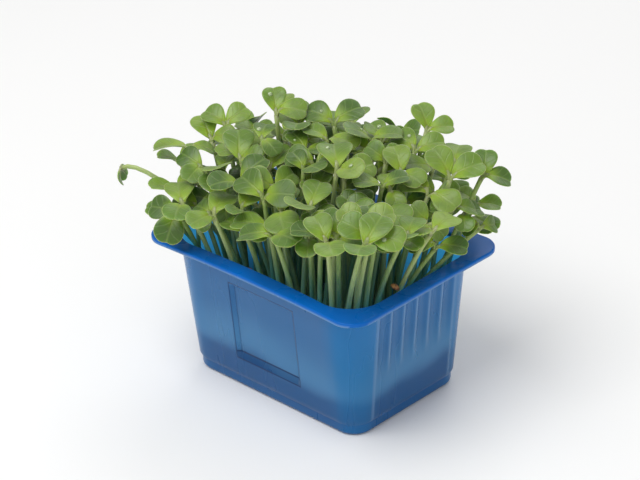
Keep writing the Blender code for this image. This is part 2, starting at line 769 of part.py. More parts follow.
def reserve_show_stems(sockets, tray):
    """Roots the stem of each well seen sprout in the nearest socket with a clear way."""
    stray_leaves = tuple(leaf(*values, STRAY_LEAN_TO) for values in STRAY_LEAVES)
    wanted = [(Vector(STRAY_HEAD) * MM, stray_leaves, STRAY_ARCH)]
    for place, first, second in SHOW_SPROUTS:
        wanted.append((Vector(place) * MM, (leaf(*first, FRONT), leaf(*second, FRONT)), 0.0))
    stems = []
    for head, leaves, arch in wanted:
        for socket in nearest_sockets(sockets, head):
            sprout = (socket[1], head, leaves, arch)
            if is_clear(stem_mesh(sprout, GUARD), stems + [tray]):
                stems.append(entry(socket[0], sprout, stem_mesh(sprout)))
                sockets.remove(socket)
                break
    return stems


def drawn_head(root, draw, late):
    """Where a drawn sprout's head is, above and outside its root."""
    spread = blend(*HEAD_SPREAD, late)
    x = root.x * FAN_X + draw.gauss(0.0, spread)
    y = root.y * fan_y(root.y) + draw.gauss(0.0, spread)
    depth = draw.uniform(0.0, blend(*HEAD_DEPTH, late))
    lowest = canopy_underside(x, y)
    top = max(canopy_height(x, y), lowest + UNDERSIDE_ROOM)
    return Vector((x, y, max(lowest, top - depth)))


def drawn_sprout(socket, draw, attempt, tries):
    """A sprout for a free socket. Later attempts sit lower, with smaller and steeper leaves."""
    late = attempt / tries
    head = drawn_head(socket[1], draw, late)
    outward = math.atan2(head.y / RIM_HALF_Y, head.x / RIM_HALF_X)
    reach = min(1.0, math.hypot(head.y / RIM_HALF_Y, head.x / RIM_HALF_X))
    tilt = heading(outward) * EDGE_LEAN * reach + heading(FRONT) * LIGHT_LEAN
    lean_to = math.atan2(tilt.y, tilt.x)
    turn = draw.uniform(-180.0, 180.0)
    leaves = []
    for number, lengths in enumerate(LEAF_LENGTHS):
        angle = turn + 180.0 * number + draw.uniform(-PAIR_SWING, PAIR_SWING)
        length = draw.uniform(*lengths) * blend(1.0, YOUNG_LEAF, late)
        droop = EDGE_DROOP * reach * math.cos(math.radians(angle) - outward)
        rise = draw.uniform(*LEAF_RISE) - droop + YOUNG_RISE * late
        lean = tilt.length + draw.uniform(-LEAN_SWING, LEAN_SWING)
        leaves.append(leaf(angle, length, rise, lean, lean_to))
    return (socket[1], head, tuple(leaves), 0.0)


def reserve_other_stems(stems, sockets, draw, tray):
    """Gives every socket that is left a stem that is clear of the others."""
    for socket in sockets:
        for attempt in range(STEM_TRIES):
            sprout = drawn_sprout(socket, draw, attempt, STEM_TRIES)
            apart = all((sprout[1] - other["sprout"][1]).length > HEAD_GAP for other in stems)
            if apart and is_clear(stem_mesh(sprout, GUARD), stems + [tray]):
                stems.append(entry(socket[0], sprout, stem_mesh(sprout)))
                break


def varied(sprout, draw, attempt):
    """The same sprout with its leaves turned, raised and shortened a little."""
    root, head, leaves, arch = sprout
    swing = math.radians(LEAF_SWING * attempt)
    shift = LEAF_SHIFT * attempt
    head = head + Vector([draw.uniform(-shift, shift) for axis in range(3)])
    turn = draw.uniform(-swing, swing)
    changed = []
    for old_turn, length, rise, lean, lean_to in leaves:
        own = turn + LEAF_FOLLOW * draw.uniform(-swing, swing)
        lift = LEAF_FOLLOW * draw.uniform(-swing, swing)
        tip = LEAF_FOLLOW * draw.uniform(-swing, swing)
        shorter = length * max(LEAF_LEAST, 1.0 - LEAF_SHRINK * attempt)
        changed.append((old_turn + own, shorter, rise + lift, lean + tip, lean_to))
    return (root, head, tuple(changed), arch)


def grow_stand(draw, centres):
    """All sprouts of the tray: first their stems, then each one's leaves where they fit."""
    sockets = sockets_of(centres, draw)
    tray = entry(None, None, skin(tray_rings()))
    stems = reserve_show_stems(sockets, tray)
    shown = len(stems)
    reserve_other_stems(stems, sockets, draw, tray)
    placed = []
    for number, stem in enumerate(stems):
        others = placed + stems[number + 1:] + [tray]
        socket = (stem["tuft"], stem["sprout"][0])
        for attempt in range(LEAF_TRIES):
            if number < shown or attempt < NEAR_TRIES:
                sprout = varied(stem["sprout"], draw, attempt)
            else:
                sprout = drawn_sprout(socket, draw, attempt - NEAR_TRIES, LEAF_TRIES)
            if is_clear(sprout_mesh(sprout, GUARD), others) and not crosses_itself(sprout):
                placed.append(entry(stem["tuft"], sprout, sprout_mesh(sprout)))
                break
    return placed


def join_into(name, pieces, material):
    """Joins closed meshes that cross into one closed body."""
    group = bpy.data.collections.new(name + "_pieces")
    bpy.context.scene.collection.children.link(group)
    for number, (points, faces) in enumerate(pieces[1:]):
        piece = make_object(name + "_piece_" + str(number), points, faces, material)
        bpy.context.collection.objects.unlink(piece)
        group.objects.link(piece)
    body = make_object(name, pieces[0][0], pieces[0][1], material)
    union = body.modifiers.new("union", "BOOLEAN")
    union.operation = "UNION"
    union.operand_type = "COLLECTION"
    union.collection = group
    union.solver = "EXACT"
    graph = bpy.context.evaluated_depsgraph_get()
    joined = bpy.data.meshes.new_from_object(body.evaluated_get(graph))
    body.modifiers.clear()
    body.data = joined
    for piece in list(group.objects):
        bpy.data.objects.remove(piece, do_unlink=True)
    bpy.data.collections.remove(group)
    return body


def build_tufts(centres, stand, material):
    """One body for each tuft: its root plug and the sprouts that grow from it."""
    for tuft, centre in enumerate(centres):
        rings = [
            hexagon(centre, PLUG_TIP_RADIUS, PLUG_BOTTOM_Z),
            hexagon(centre, PLUG_RADIUS, MAT_TOP_Z),
            hexagon(centre, PLUG_RADIUS * PLUG_CROWN, PLUG_TOP_Z),
        ]
        pieces = [skin(rings)]
        pieces += [sprout_mesh(item["sprout"]) for item in stand if item["tuft"] == tuft]
        body = join_into("cress_clump_%02d" % (tuft + 1), pieces, material)
        shade(body)


def build_hulls(material):
    """Seed hulls, each with a flat underside that rests on the mat."""
    for number, (x, y, turn) in enumerate(HULLS):
        mesh = bmesh.new()
        bmesh.ops.create_icosphere(mesh, subdivisions=1, radius=1.0)
        angle = math.radians(turn)
        for vertex in mesh.verts:
            length = vertex.co.x * HULL_HALF_LENGTH
            width = vertex.co.y * HULL_HALF_WIDTH
            height = max(vertex.co.z, -HULL_FLAT) * HULL_HALF_HEIGHT
            vertex.co.x = x * MM + length * math.cos(angle) - width * math.sin(angle)
            vertex.co.y = y * MM + length * math.sin(angle) + width * math.cos(angle)
            vertex.co.z = MAT_TOP_Z + CLEARANCE + HULL_FLAT * HULL_HALF_HEIGHT + height
        name = "seed_hull_%02d" % (number + 1)
        data = bpy.data.meshes.new(name)
        mesh.to_mesh(data)
        mesh.free()
        data.materials.append(material)
        body = bpy.data.objects.new(name, data)
        bpy.context.collection.objects.link(body)
        shade(body, math.radians(60.0))


def main():
    """Builds the whole tray of cress."""
    clear_scene()
    draw = random.Random(SEED)
    plastic = make_material("blue_plastic", (0.03, 0.20, 0.52), 0.18, alpha=0.6)
    medium = make_material("mat_fibre", (0.20, 0.15, 0.09), 0.95)
    green = make_material("cress_green", (0.20, 0.38, 0.06), 0.45)
    brown = make_material("hull_brown", (0.30, 0.13, 0.05), 0.6)
    build_tray(plastic)
    centres = tuft_centres(draw)
    build_mat(centres, medium)
    stand = grow_stand(draw, centres)
    build_tufts(centres, stand, green)
    build_hulls(brown)


main()
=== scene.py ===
"""A tray of daikon cress, dressed: fine seed leaves and stems, root felt, seed hulls, water
droplets and clear blue plastic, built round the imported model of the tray.

Metres, +Z up. X runs along the tray's long side and the origin is under the middle of its foot.
"""

import json
import math
import random

import bmesh
import bpy
from bpy.props import FloatProperty, FloatVectorProperty, PointerProperty
from bpy.types import Operator, Panel, PropertyGroup
from mathutils import Matrix, Vector, noise
from mathutils.bvhtree import BVHTree
from mathutils.geometry import intersect_ray_tri
from mathutils.kdtree import KDTree

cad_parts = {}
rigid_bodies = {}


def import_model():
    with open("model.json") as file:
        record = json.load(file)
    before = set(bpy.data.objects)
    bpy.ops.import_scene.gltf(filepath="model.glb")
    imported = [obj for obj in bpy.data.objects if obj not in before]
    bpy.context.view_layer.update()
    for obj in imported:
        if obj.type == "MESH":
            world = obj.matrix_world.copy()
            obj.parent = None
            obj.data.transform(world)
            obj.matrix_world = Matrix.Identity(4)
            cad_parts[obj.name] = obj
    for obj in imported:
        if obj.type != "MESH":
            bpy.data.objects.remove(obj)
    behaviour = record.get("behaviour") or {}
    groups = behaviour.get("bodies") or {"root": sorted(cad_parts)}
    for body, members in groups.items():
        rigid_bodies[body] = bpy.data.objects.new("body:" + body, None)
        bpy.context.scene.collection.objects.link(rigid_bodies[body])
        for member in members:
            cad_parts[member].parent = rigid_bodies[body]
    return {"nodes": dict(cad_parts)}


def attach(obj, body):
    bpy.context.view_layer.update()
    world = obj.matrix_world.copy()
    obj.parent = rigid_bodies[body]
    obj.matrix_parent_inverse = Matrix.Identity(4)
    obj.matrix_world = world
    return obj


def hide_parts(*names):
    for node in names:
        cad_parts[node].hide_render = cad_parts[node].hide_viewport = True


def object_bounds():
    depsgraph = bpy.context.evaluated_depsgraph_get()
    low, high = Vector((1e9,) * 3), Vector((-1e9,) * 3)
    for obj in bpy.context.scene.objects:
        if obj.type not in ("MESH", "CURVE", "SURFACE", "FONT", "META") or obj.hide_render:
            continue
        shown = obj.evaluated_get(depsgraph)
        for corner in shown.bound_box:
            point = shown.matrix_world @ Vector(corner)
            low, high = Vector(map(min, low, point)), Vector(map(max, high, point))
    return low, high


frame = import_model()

cad_low, cad_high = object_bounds()

bl_info = {
    "name": "Daikon Cress Tray",
    "version": (1, 0, 0),
    "blender": (4, 5, 0),
    "location": "View3D > Sidebar > Cress",
    "description": "Dresses a packed tray of daikon cress with leaves, stems, felt, hulls and plastic",
    "category": "Object",
}

MM = 0.001

# Tray: the wall is a core rectangle with a corner radius that grows from ledge to top.
CORE_HALF_X = 30.4 * MM
CORE_HALF_Y = 18.4 * MM
SHEET = 0.8 * MM
LEDGE_Z = 4.2 * MM
LEDGE_RADIUS = 8.2 * MM
WALL_TOP_Z = 49.6 * MM
WALL_TOP_RADIUS = 12.7 * MM
TRAY_HEIGHT = 51.0 * MM
LONG_SIDE_BOW = 1.1 * MM

FOOT_INSET = 0.9 * MM
FOOT_EDGE = 1.5 * MM

RIM_HALF_X = 48.5 * MM
RIM_HALF_Y = 36.5 * MM
RIM_RADIUS = 8.0 * MM
LIP_DEPTH = 1.6 * MM
NECK_FILLET = 0.6 * MM

# Flutes on the two short faces: ribs stand at the wall, channels are pressed in.
RIB_COUNT = 7
RIB_HALF_CREST = 0.75 * MM
RIB_SLOPE = 0.9 * MM
FLUTE_DEPTH = 0.9 * MM
FLUTE_FADE_Z = (20.0 * MM, 27.0 * MM, 44.8 * MM, 46.8 * MM)

# Recessed square panel on each long face.
PANEL_HALF = 14.8 * MM
PANEL_BEVEL = 1.6 * MM
PANEL_DEPTH = 1.2 * MM
PANEL_Z = (11.9 * MM, 14.4 * MM, 40.2 * MM, 41.7 * MM)

# The growing mat's top, and how far above it the seed hulls lie.
MAT_TOP_Z = 15.6 * MM
CLEARANCE = 0.3 * MM

# Tufts: each is a root plug in its own hole, with sockets for three sprouts. A few stay free.
TUFT_COLUMNS = 8
TUFT_ROWS = 4
TUFT_PITCH_X = 9.2 * MM
TUFT_PITCH_Y = 12.0 * MM
TUFT_JITTER = 0.45 * MM
SPROUTS_PER_TUFT = 3
PLUG_RADIUS = 3.1 * MM
PLUG_TIP_RADIUS = 1.9 * MM
PLUG_BOTTOM_Z = 7.0 * MM
PLUG_TOP_Z = 18.0 * MM
PLUG_CROWN = 0.8
SOCKET_RADIUS = 1.8 * MM
ROOT_Z = MAT_TOP_Z + 0.4 * MM

# Sprouts.
STEM_HALF_BASE = 0.85 * MM
STEM_HALF_TOP = 0.70 * MM
STEM_STEPS = 3
HEADING_STEP = 0.02
STEM_LEAN = (0.05, 0.62)
STEM_CLIMB = (0.45, 0.80)
ARCH_REACH = 11.0
STALK_HALF_WIDTH = 0.55 * MM
STALK_RATIO = 0.28
STALK_OUT = 0.62
STALK_ON = 0.75
STALK_FOLLOW = 0.45
BLADE_THICKNESS = 0.66 * MM
GUARD = 0.32 * MM
BLADE_WIDTH_RATIO = 1.04
BLADE_FOLD = math.radians(16.0)
BLADE_CURL = math.radians(34.0)
LEAF_FULLNESS = 0.48
LEAF_TAPER = 0.20
BLADE_STATIONS = ((0.22, 0.10), (0.52, 0.50), (0.82, 0.89))
NOTCH = 0.08
NOTCH_HALF_WIDTH = 0.26
FRONT = math.radians(-45.5)

# The canopy's top surface: a dome that is highest a little behind the middle.
CANOPY_TOP_Z = 83.0 * MM
CANOPY_PEAK_Y = 10.0 * MM
CANOPY_FALL_X = (15.0 * MM, 50.0 * MM)
CANOPY_FALL_FRONT = (11.0 * MM, 44.0 * MM)
CANOPY_FALL_BACK = (12.0 * MM, 32.0 * MM)
CANOPY_FALL_POWERS = (2.2, 1.6)
LOWEST_HEAD_Z = 65.0 * MM
UNDERSIDE_MIDDLE_Z = 57.5 * MM
UNDERSIDE_RISE = 0.36
UNDERSIDE_ROOM = 4.0 * MM
FAN_X = 1.30
FAN_BACK = 1.42
FAN_FRONT = 1.18

# Sprouts drawn at random. Where two values stand, the second is for the last attempt.
HEAD_SPREAD = (2.0 * MM, 6.0 * MM)
HEAD_DEPTH = (7.0 * MM, 15.0 * MM)
HEAD_GAP = 5.0 * MM
PAIR_SWING = 22.0
LEAF_LENGTHS = ((10.5, 13.0), (9.2, 11.5))
LEAF_RISE = (12.0, 34.0)
EDGE_DROOP = 16.0
EDGE_LEAN = 22.0
LIGHT_LEAN = 16.0
LEAN_SWING = 12.0
YOUNG_LEAF = 0.55
YOUNG_RISE = 30.0

# How a leaf pair is fitted in among the others: the change grows with each attempt.
STEM_TRIES = 60
LEAF_TRIES = 300
NEAR_TRIES = 60
LEAF_SWING = 0.8
LEAF_FOLLOW = 0.4
LEAF_SHIFT = 0.03 * MM
LEAF_SHRINK = 0.005
LEAF_LEAST = 0.72
SEED = 41

# Sprouts that show best. Each line: head x, y, z in mm, then for both leaves the
# compass angle, length in mm, rise and lean towards the front corner, in degrees.
SHOW_SPROUTS = (
    ((-27, 8, 85), (140, 8.5, 48, 14), (30, 9.5, 10, 26)),
    ((-42, -1, 79), (195, 8.5, 32, 30), (70, 8.5, 34, 30)),
    ((-44, -6, 75), (160, 9.5, 38, 30), (20, 8.0, 24, 30)),
    ((-25, -11, 75), (135, 11.0, 46, 30), (10, 8.5, 28, 28)),
    ((-46, -14, 74), (224, 11.0, 8, -6), (36, 8.0, -2, -2)),
    ((-50, -15, 68), (80, 10.5, 24, -14), (230, 7.5, 34, 0)),
    ((-33, -33, 62), (212, 9.0, 14, 46), (-70, 10.5, -40, 34)),
    ((-37, -17, 71), (168, 10.0, 24, 36), (262, 9.5, -8, 40)),
    ((-21, -23, 67), (165, 10.5, 36, 30), (-40, 9.5, -52, 26)),
    ((-20, -28, 63), (214, 10.5, 2, 34), (-80, 9.0, -34, 26)),
    ((-22, -7, 79), (55, 11.0, 16, 26), (-90, 10.5, -8, 30)),
    ((-4, -16, 73), (190, 10.5, 24, 38), (75, 10.5, 24, 38)),
    ((4, -18, 65), (222, 11.0, 4, 22), (40, 10.0, 8, 30)),
    ((-11, 19, 82), (205, 10.0, 26, 26), (65, 10.0, 26, 26)),
    ((-1, -1, 77), (60, 10.0, 10, 40), (200, 10.0, 12, 36)),
    ((12, -1, 77), (170, 10.0, 28, 40), (60, 10.0, 22, 38)),
    ((23, -6, 70), (165, 11.0, 42, 30), (95, 11.0, 42, 26)),
    ((17, -11, 68), (200, 10.5, 14, 34), (-20, 10.0, -8, 30)),
    ((17, 33, 83), (146, 9.5, 62, 4), (36, 9.0, 16, 20)),
    ((19, 26, 79), (190, 10.0, 24, 32), (60, 10.0, 14, 30)),
    ((24, 13, 77), (150, 9.5, 48, 22), (-10, 9.0, 6, 26)),
    ((39, 20, 78), (180, 10.0, 50, 22), (52, 10.5, 28, 30)),
    ((44, 29, 77), (100, 9.5, 52, 14), (24, 10.0, -4, 24)),
    ((18, 12, 79), (195, 10.5, 12, 28), (40, 9.0, 18, 20)),
    ((35, 14, 73), (195, 10.0, 18, 30), (0, 10.0, -4, 28)),
    ((42, 17, 71), (40, 9.5, -2, 26), (205, 9.0, 10, 24)),
    ((45, 20, 67), (80, 8.5, 8, 36), (-40, 8.5, -10, 26)),
    ((48, 23, 62), (214, 8.5, -6, 46), (44, 8.5, -8, 46)),
    ((42, 11, 67), (160, 10.0, 28, 40), (20, 9.5, 4, 34)),
    ((27, 8, 73), (185, 10.0, 8, 26), (10, 10.0, -8, 22)),
    ((30, 1, 69), (60, 10.0, 30, 8), (220, 9.5, 6, 14)),
    ((29, -9, 63), (190, 10.0, 16, 4), (40, 10.5, 16, 0)),
    ((21, -14, 64), (250, 9.5, -30, 20), (130, 9.0, 14, 20)),
    ((44, 7, 60), (230, 9.0, 2, 22), (30, 9.0, 8, 18)),
    ((-8, -27, 62), (215, 10.0, 6, 24), (45, 10.0, 2, 28)),
    ((6, 25, 80), (150, 10.0, 30, 10), (20, 10.0, 12, 24)),
    ((-34, 20, 78), (150, 10.0, 20, 10), (-30, 10.0, 10, 26)),
    ((31, 30, 76), (120, 10.0, 18, 8), (-20, 10.0, 10, 24)),
    ((-14, 30, 76), (120, 10.0, 16, 0), (-60, 10.0, 22, 16)),
)

# One sprout has strayed past the left end of the tray and hangs its closed leaves.
STRAY_HEAD = (-65, -29, 67)
STRAY_LEAVES = ((128, 6.0, -55, 75), (308, 5.4, -60, 75))
STRAY_LEAN_TO = math.radians(218.0)
STRAY_ARCH = 18.0 * MM

# Seed hulls that lie on the mat between the tufts: x, y in mm and turn in degrees.
HULLS = ((-18.4, -12.0, 20), (0.3, -12.2, 75), (18.2, -11.9, 140), (27.7, 0.2, 35), (-9.3, 12.1, 110))
HULL_HALF_LENGTH = 1.7 * MM
HULL_HALF_WIDTH = 1.25 * MM
HULL_HALF_HEIGHT = 1.0 * MM
HULL_FLAT = 0.55
HULL_TAPER = 0.18
HULL_SEAM_WIDTH = 0.10
HULL_SEAM_DEPTH = 0.13
HULL_UNEVEN = 0.05
HULL_LUMPS = 2.3

# Hulls that hang between the stems and the wall: x, y, z in mm, turn and tilt in degrees.
CAUGHT_HULLS = ((41.0, -9.0, 51.5, 60, 40), (-6.3, -27.4, 47.5, 15, 60))

# Fine tray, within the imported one.
FINE_CORNER_STEPS = 12
FINE_EDGE_STEPS = 4
FINE_FILLET_STEPS = 4
FINE_INNER_EDGE_STEPS = 3
FINE_WALL_STEP = 1.1 * MM
FINE_FOOT_RADIUS = 7.0 * MM
CREASE = 0.3 * MM
RIB_SAMPLES = tuple(
    place * MM for place in (-2.3, -1.65, -1.2, -0.8, -0.35, 0.0, 0.35, 0.8, 1.2, 1.65, 2.3))
RIB_SOFTNESS = 1.35
PANEL_COLUMNS = (4.4 * MM, 8.8 * MM, 18.5 * MM, 22.5 * MM, 26.5 * MM)
LEDGE_BEND_BELOW = 0.6 * MM
LEDGE_FILLET = 0.1 * MM
LEDGE_WIDTH = 0.5 * MM
INNER_LEDGE_DROP = 0.3 * MM
LIP_BEND = 0.4 * MM
LIP_CREASE = 0.15 * MM
LIP_INNER_CREASE = 0.1 * MM
FINE_RIM_EDGE = 0.55 * MM

# What the fine tray's points carry: corners, and painted highlights along the ribs and the lip.
CORNER_FADE_X = (-2.0 * MM, 3.0 * MM)
CORNER_FADE_Y = (-1.0 * MM, 1.0 * MM)
LINE_ROOM = 0.2 * MM
RIB_LINE = 0.56 * MM
LAST_RIB_WITHIN = 1.0 * MM
LAST_RIB_SHARE = 0.75

# Fine leaves: the outline's base and edge, the fold, the waves and the lobes' domes.
LEAF_SEGMENTS = 28
LEAF_RINGS = 10
LEAF_CENTRE = 0.50
BASE_REACH = 0.22
BASE_HALF_WIDTH = 0.36
EDGE_ROUNDNESS = 0.6
FINE_BLADE_HALF = 0.42 * BLADE_THICKNESS
FOLD_SOFT = 1.6 * MM
FOLD_RISE = 1.3
LOBE_DOME = 38.0
WAVE_HEIGHT = (0.03, 0.15)
WAVE_TURNS = (3.0, 6.0)
CUP_RANGE = (0.5, 1.7)
CURL_RANGE = (0.75, 1.25)

# Fine stems and root plugs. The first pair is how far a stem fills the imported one, root and top.
STEM_FILL = (1.06, 1.08)
FORK_SWELL = 0.12
FORK_FROM = 0.90
STEM_SIDES = 8
STEM_ROWS = 14
PLUG_FILL = 0.94
PLUG_KNOBS = 0.10
KNOBS_AROUND = 1.7
KNOBS_ALONG = 0.4 / MM
PLUG_TONE = 0.5

# Fine stalks: half width and half height in mm, at the fork, on the way and along the midrib.
STALK_ROWS = 12
STALK_MAP_FROM = 0.9
BURIED = 0.9 * MM
STALK_FORK = (0.66, 0.62)
STALK_MIDDLE = (0.72, 0.50)
STALK_MIDDLE_AT = 0.45
MIDRIB_SUNK = 0.275 * BLADE_THICKNESS
MIDRIB_KNOTS = (
    (0.0, 0.95, 0.40), (0.12, 0.80, 0.34), (0.28, 0.42, 0.26), (0.48, 0.26, 0.18), (0.68, 0.12, 0.10))

# How much of a leaf's tone is its own, and how much darker the lowest leaves are with painted shade.
OWN_TONE = 0.4
DEPTH_SHADE = 0.45

# Sprouts that only the dressed model has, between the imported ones.
FILL_SEED = 7
FILL_TRIES = 800
FILL_GROUPS = 8
FILL_COLUMNS = 16
FILL_ROWS = 11
FILL_PITCH_X = 4.7 * MM
FILL_PITCH_Y = 4.5 * MM
FILL_JITTER = 1.1 * MM
FILL_ROOT_GAP = 1.6 * MM
FILL_GUARD = 0.03 * MM
FILL_DEPTH = (1.0 * MM, 22.0 * MM)
FILL_YOUNG_LEAF = 0.72
FILL_LEAF_LENGTHS = ((10.5, 13.0), (9.5, 12.0))
FILL_LEAF_RISE = (-5.0, 30.0)
BOX_ROOM = 0.5 * MM

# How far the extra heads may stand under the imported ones, from inside to the front corner.
FILL_BELOW = 8.0 * MM
FILL_BELOW_FADE = (2.0 * MM, 14.0 * MM)

# Extra sprouts where the photo shows no gap, as in SHOW_SPROUTS.
GAP_SPROUTS = (
    ((33, 18, 62), (200, 11.0, 20, 20), (30, 11.0, 20, 20)),
    ((28, 28, 62), (190, 11.5, 25, 10), (10, 11.5, 25, 10)),
    ((22, 22, 67), (215, 11.5, 20, 16), (40, 11.5, 20, 16)),
    ((40, 26, 62), (170, 10.5, 20, 20), (20, 10.5, 10, 24)),
    ((-38, 4, 68), (215, 11.0, 20, 20), (30, 11.0, 20, 20)),
    ((-30, 16, 70), (200, 11.5, 25, 14), (20, 11.5, 20, 14)),
    ((33, -14, 70), (225, 10.5, 20, 24), (50, 10.5, 20, 24)),
    ((40, -8, 69), (200, 10.5, 24, 24), (20, 10.5, 10, 24)),
    ((16, 4, 68), (215, 11.0, 20, 16), (40, 11.0, 20, 16)),
    ((2, 32, 72), (205, 11.5, 30, 8), (30, 11.5, 25, 8)),
    ((-20, -4, 66), (225, 11.0, 10, 10), (45, 11.0, 10, 10)),
    ((8, 5, 63), (225, 11.0, 10, 10), (45, 11.0, 10, 10)),
    ((32, 8, 59), (225, 11.0, 10, 10), (45, 11.0, 10, 10)),
    ((24, 32, 66), (215, 11.5, 20, 10), (35, 11.5, 20, 10)),
    ((42, 30, 66), (215, 10.5, 20, 10), (35, 10.5, 20, 10)),
)

# Root felt, which lies on the mat.
FELT_HALF_X = 37.3 * MM
FELT_HALF_Y = 24.9 * MM
FELT_RADIUS = 8.0 * MM
FELT_CELLS = (72, 50)
FELT_MEAN = 0.75 * MM
FELT_BUMPS = 1.2 * MM
FELT_BUMP_SIZE = 4.0 * MM
FELT_LEAST = 0.15 * MM
FELT_LIFT = 0.05 * MM

# Water droplets on leaves. The places are shares of the leaf's length.
DROP_SEED = 3
DROP_LEAVES = 14
DROP_CHOICE = 3
DROP_FORWARD = (0.25, 0.6)
DROP_SIDE = (0.10, 0.20)
DROP_RADIUS = (0.45 * MM, 0.85 * MM)
DROP_HEIGHT = 0.72
DROP_SUNK = 0.35

# Plastic: where the painted light pools above the mat, where the wall turns to the rim's colour, how high
# the corners' painted light deepens, the painted shade lines round the panel, the painted glow and
# clearness.
POOL_RISE = (-3.0 * MM, 3.5 * MM)
POOL_FALL = (4.0 * MM, 18.0 * MM)
POOL_SHARE = 0.9
POOL_DRIFT = 0.016
RIM_TURN = (-0.2 * MM, 0.4 * MM)
CORNER_DEEPER_TO = 26.0 * MM
LONG_FACE_FROM = (3.0 * MM, 4.0 * MM)
PANEL_LINE = 0.42 * MM
UPRIGHT_LINE = 0.75 * PANEL_LINE
UPRIGHT_SHARE = 0.7
INNER_SHARE = 0.6
BEVEL_SHADE = 0.35
GLOW = 0.5
CLEARNESS = 0.22
RIM_CLEARNESS = 0.03

# Shading is smooth across edges that turn less than this, in degrees.
SMOOTH_TO = 50.0
TRAY_SMOOTH_TO = 38.0

# Stage. Each light: its name, its place right of, behind and above what it looks at, its size
# in metres and the setting that holds its power.
CAMERA_AIM_Z = 28.0 * MM
CAMERA_AIM_RIGHT = -0.55 * MM
CAMERA_AIM_UP = 19.72 * MM
SENSOR_WIDTH = 36.0
CLIP_START = 0.05
FLOOR_SIZE = 6.0
FLOOR_CELLS = 8
FLOOR_DROP = 0.1 * MM
FLOOR_CLOUD = 0.985
LIGHT_AIM = (0.0, 0.0, 0.05)
LIGHTS = (
    ("key_light", (-0.35, 0.25, 0.9), 0.7, "key_power"),
    ("fill_light", (0.35, 0.9, 0.35), 0.8, "fill_power"),
    ("back_light", (0.3, -0.7, 0.7), 0.6, "back_power"),
)


def blend(low, high, share):
    """The value a share of the way from low to high."""
    return low + (high - low) * share


def ramp(value, start, end):
    """0 up to start, 1 from end on, straight between."""
    return min(1.0, max(0.0, (value - start) / (end - start)))


def plug_radius(z):
    """The root plug narrows towards its lower end."""
    return blend(PLUG_TIP_RADIUS, PLUG_RADIUS, ramp(z, PLUG_BOTTOM_Z, MAT_TOP_Z))


def grid_place(number, count, pitch):
    """A place in a row of even places whose middle is at 0."""
    return (number - (count - 1) / 2.0) * pitch


def tuft_centres(draw):
    """The tufts' middles, on a grid that is slightly out of line."""
    centres = []
    for row in range(TUFT_ROWS):
        for column in range(TUFT_COLUMNS):
            x = grid_place(column, TUFT_COLUMNS, TUFT_PITCH_X)
            y = grid_place(row, TUFT_ROWS, TUFT_PITCH_Y)
            x += draw.uniform(-TUFT_JITTER, TUFT_JITTER)
            y += draw.uniform(-TUFT_JITTER, TUFT_JITTER)
            centres.append(Vector((x, y, 0.0)))
    return centres


def heading(angle, rise=0.0):
    """A unit vector at a compass angle, raised from level."""
    level = math.cos(rise)
    return Vector((math.cos(angle) * level, math.sin(angle) * level, math.sin(rise)))


def canopy_height(x, y):
    """How high the leaves stand over a place."""
    fall_x = CANOPY_FALL_X[0] * (abs(x) / CANOPY_FALL_X[1]) ** CANOPY_FALL_POWERS[0]
    behind = y - CANOPY_PEAK_Y
    drop, reach = CANOPY_FALL_BACK if behind > 0.0 else CANOPY_FALL_FRONT
    return CANOPY_TOP_Z - fall_x - drop * (abs(behind) / reach) ** CANOPY_FALL_POWERS[1]


def canopy_underside(x, y):
    """The lowest place of a head: it rises to the front corner, where the bare stems show."""
    toward = Vector((x, y, 0.0)).dot(heading(FRONT))
    return max(LOWEST_HEAD_Z, UNDERSIDE_MIDDLE_Z + UNDERSIDE_RISE * toward)


def stem_curve(root, head, arch, share):
    """A point on the stem, which rises steeply and then leans towards its head."""
    height = head.z - root.z
    lean = Vector((head.x - root.x, head.y - root.y, 0.0))
    first = root + lean * STEM_LEAN[0] + Vector((0, 0, height * STEM_CLIMB[0]))
    second = root + lean * (STEM_LEAN[1] + ARCH_REACH * arch)
    second.z += height * STEM_CLIMB[1] + arch
    rest = 1.0 - share
    return (rest ** 3 * root + 3 * rest ** 2 * share * first
            + 3 * rest * share ** 2 * second + share ** 3 * head)


def outline(share):
    """Half of a seed leaf's edge from its stalk to its notch: forward and sideways shares."""
    angle = math.pi * share
    side = LEAF_FULLNESS * math.sin(angle) * (1.0 - LEAF_TAPER * math.cos(angle))
    forward = 0.5 - 0.5 * math.cos(angle)
    if share > 0.5:
        forward -= NOTCH * max(0.0, 1.0 - side / NOTCH_HALF_WIDTH) ** 1.3
    return forward, side


def leaf_frame(leaf):
    """The directions of a leaf: forward along its midrib, to its left, and up from it."""
    turn, length, rise, lean, lean_to = leaf
    forward = heading(turn, rise)
    tilted = Vector((0, 0, 1)) + math.tan(lean) * heading(lean_to)
    normal = (tilted - forward * tilted.dot(forward)).normalized()
    return forward, normal.cross(forward), normal


def leaf_point(base, frame, length, forward, side, lift):
    """A point of a leaf that is folded along its midrib and curls down to its tip."""
    bend = length / BLADE_CURL
    along = bend * math.sin(forward / bend)
    drop = bend * (1.0 - math.cos(forward / bend))
    across = side * math.cos(BLADE_FOLD)
    up = abs(side) * math.sin(BLADE_FOLD) - drop + lift
    return base + frame[0] * along + frame[1] * across + frame[2] * up


def stem_heading(root, head, arch, share):
    """The direction in which the stem grows at a share of its length."""
    after = stem_curve(root, head, arch, share + HEADING_STEP)
    return (after - stem_curve(root, head, arch, share - HEADING_STEP)).normalized()


def stalk_heading(leaf, stem_end):
    """A leaf's stalk leaves the fork outwards and onwards, less so where the leaf hangs."""
    turn, length, rise = leaf[:3]
    return (heading(turn) * STALK_OUT + stem_end * (STALK_ON + STALK_FOLLOW * rise)).normalized()


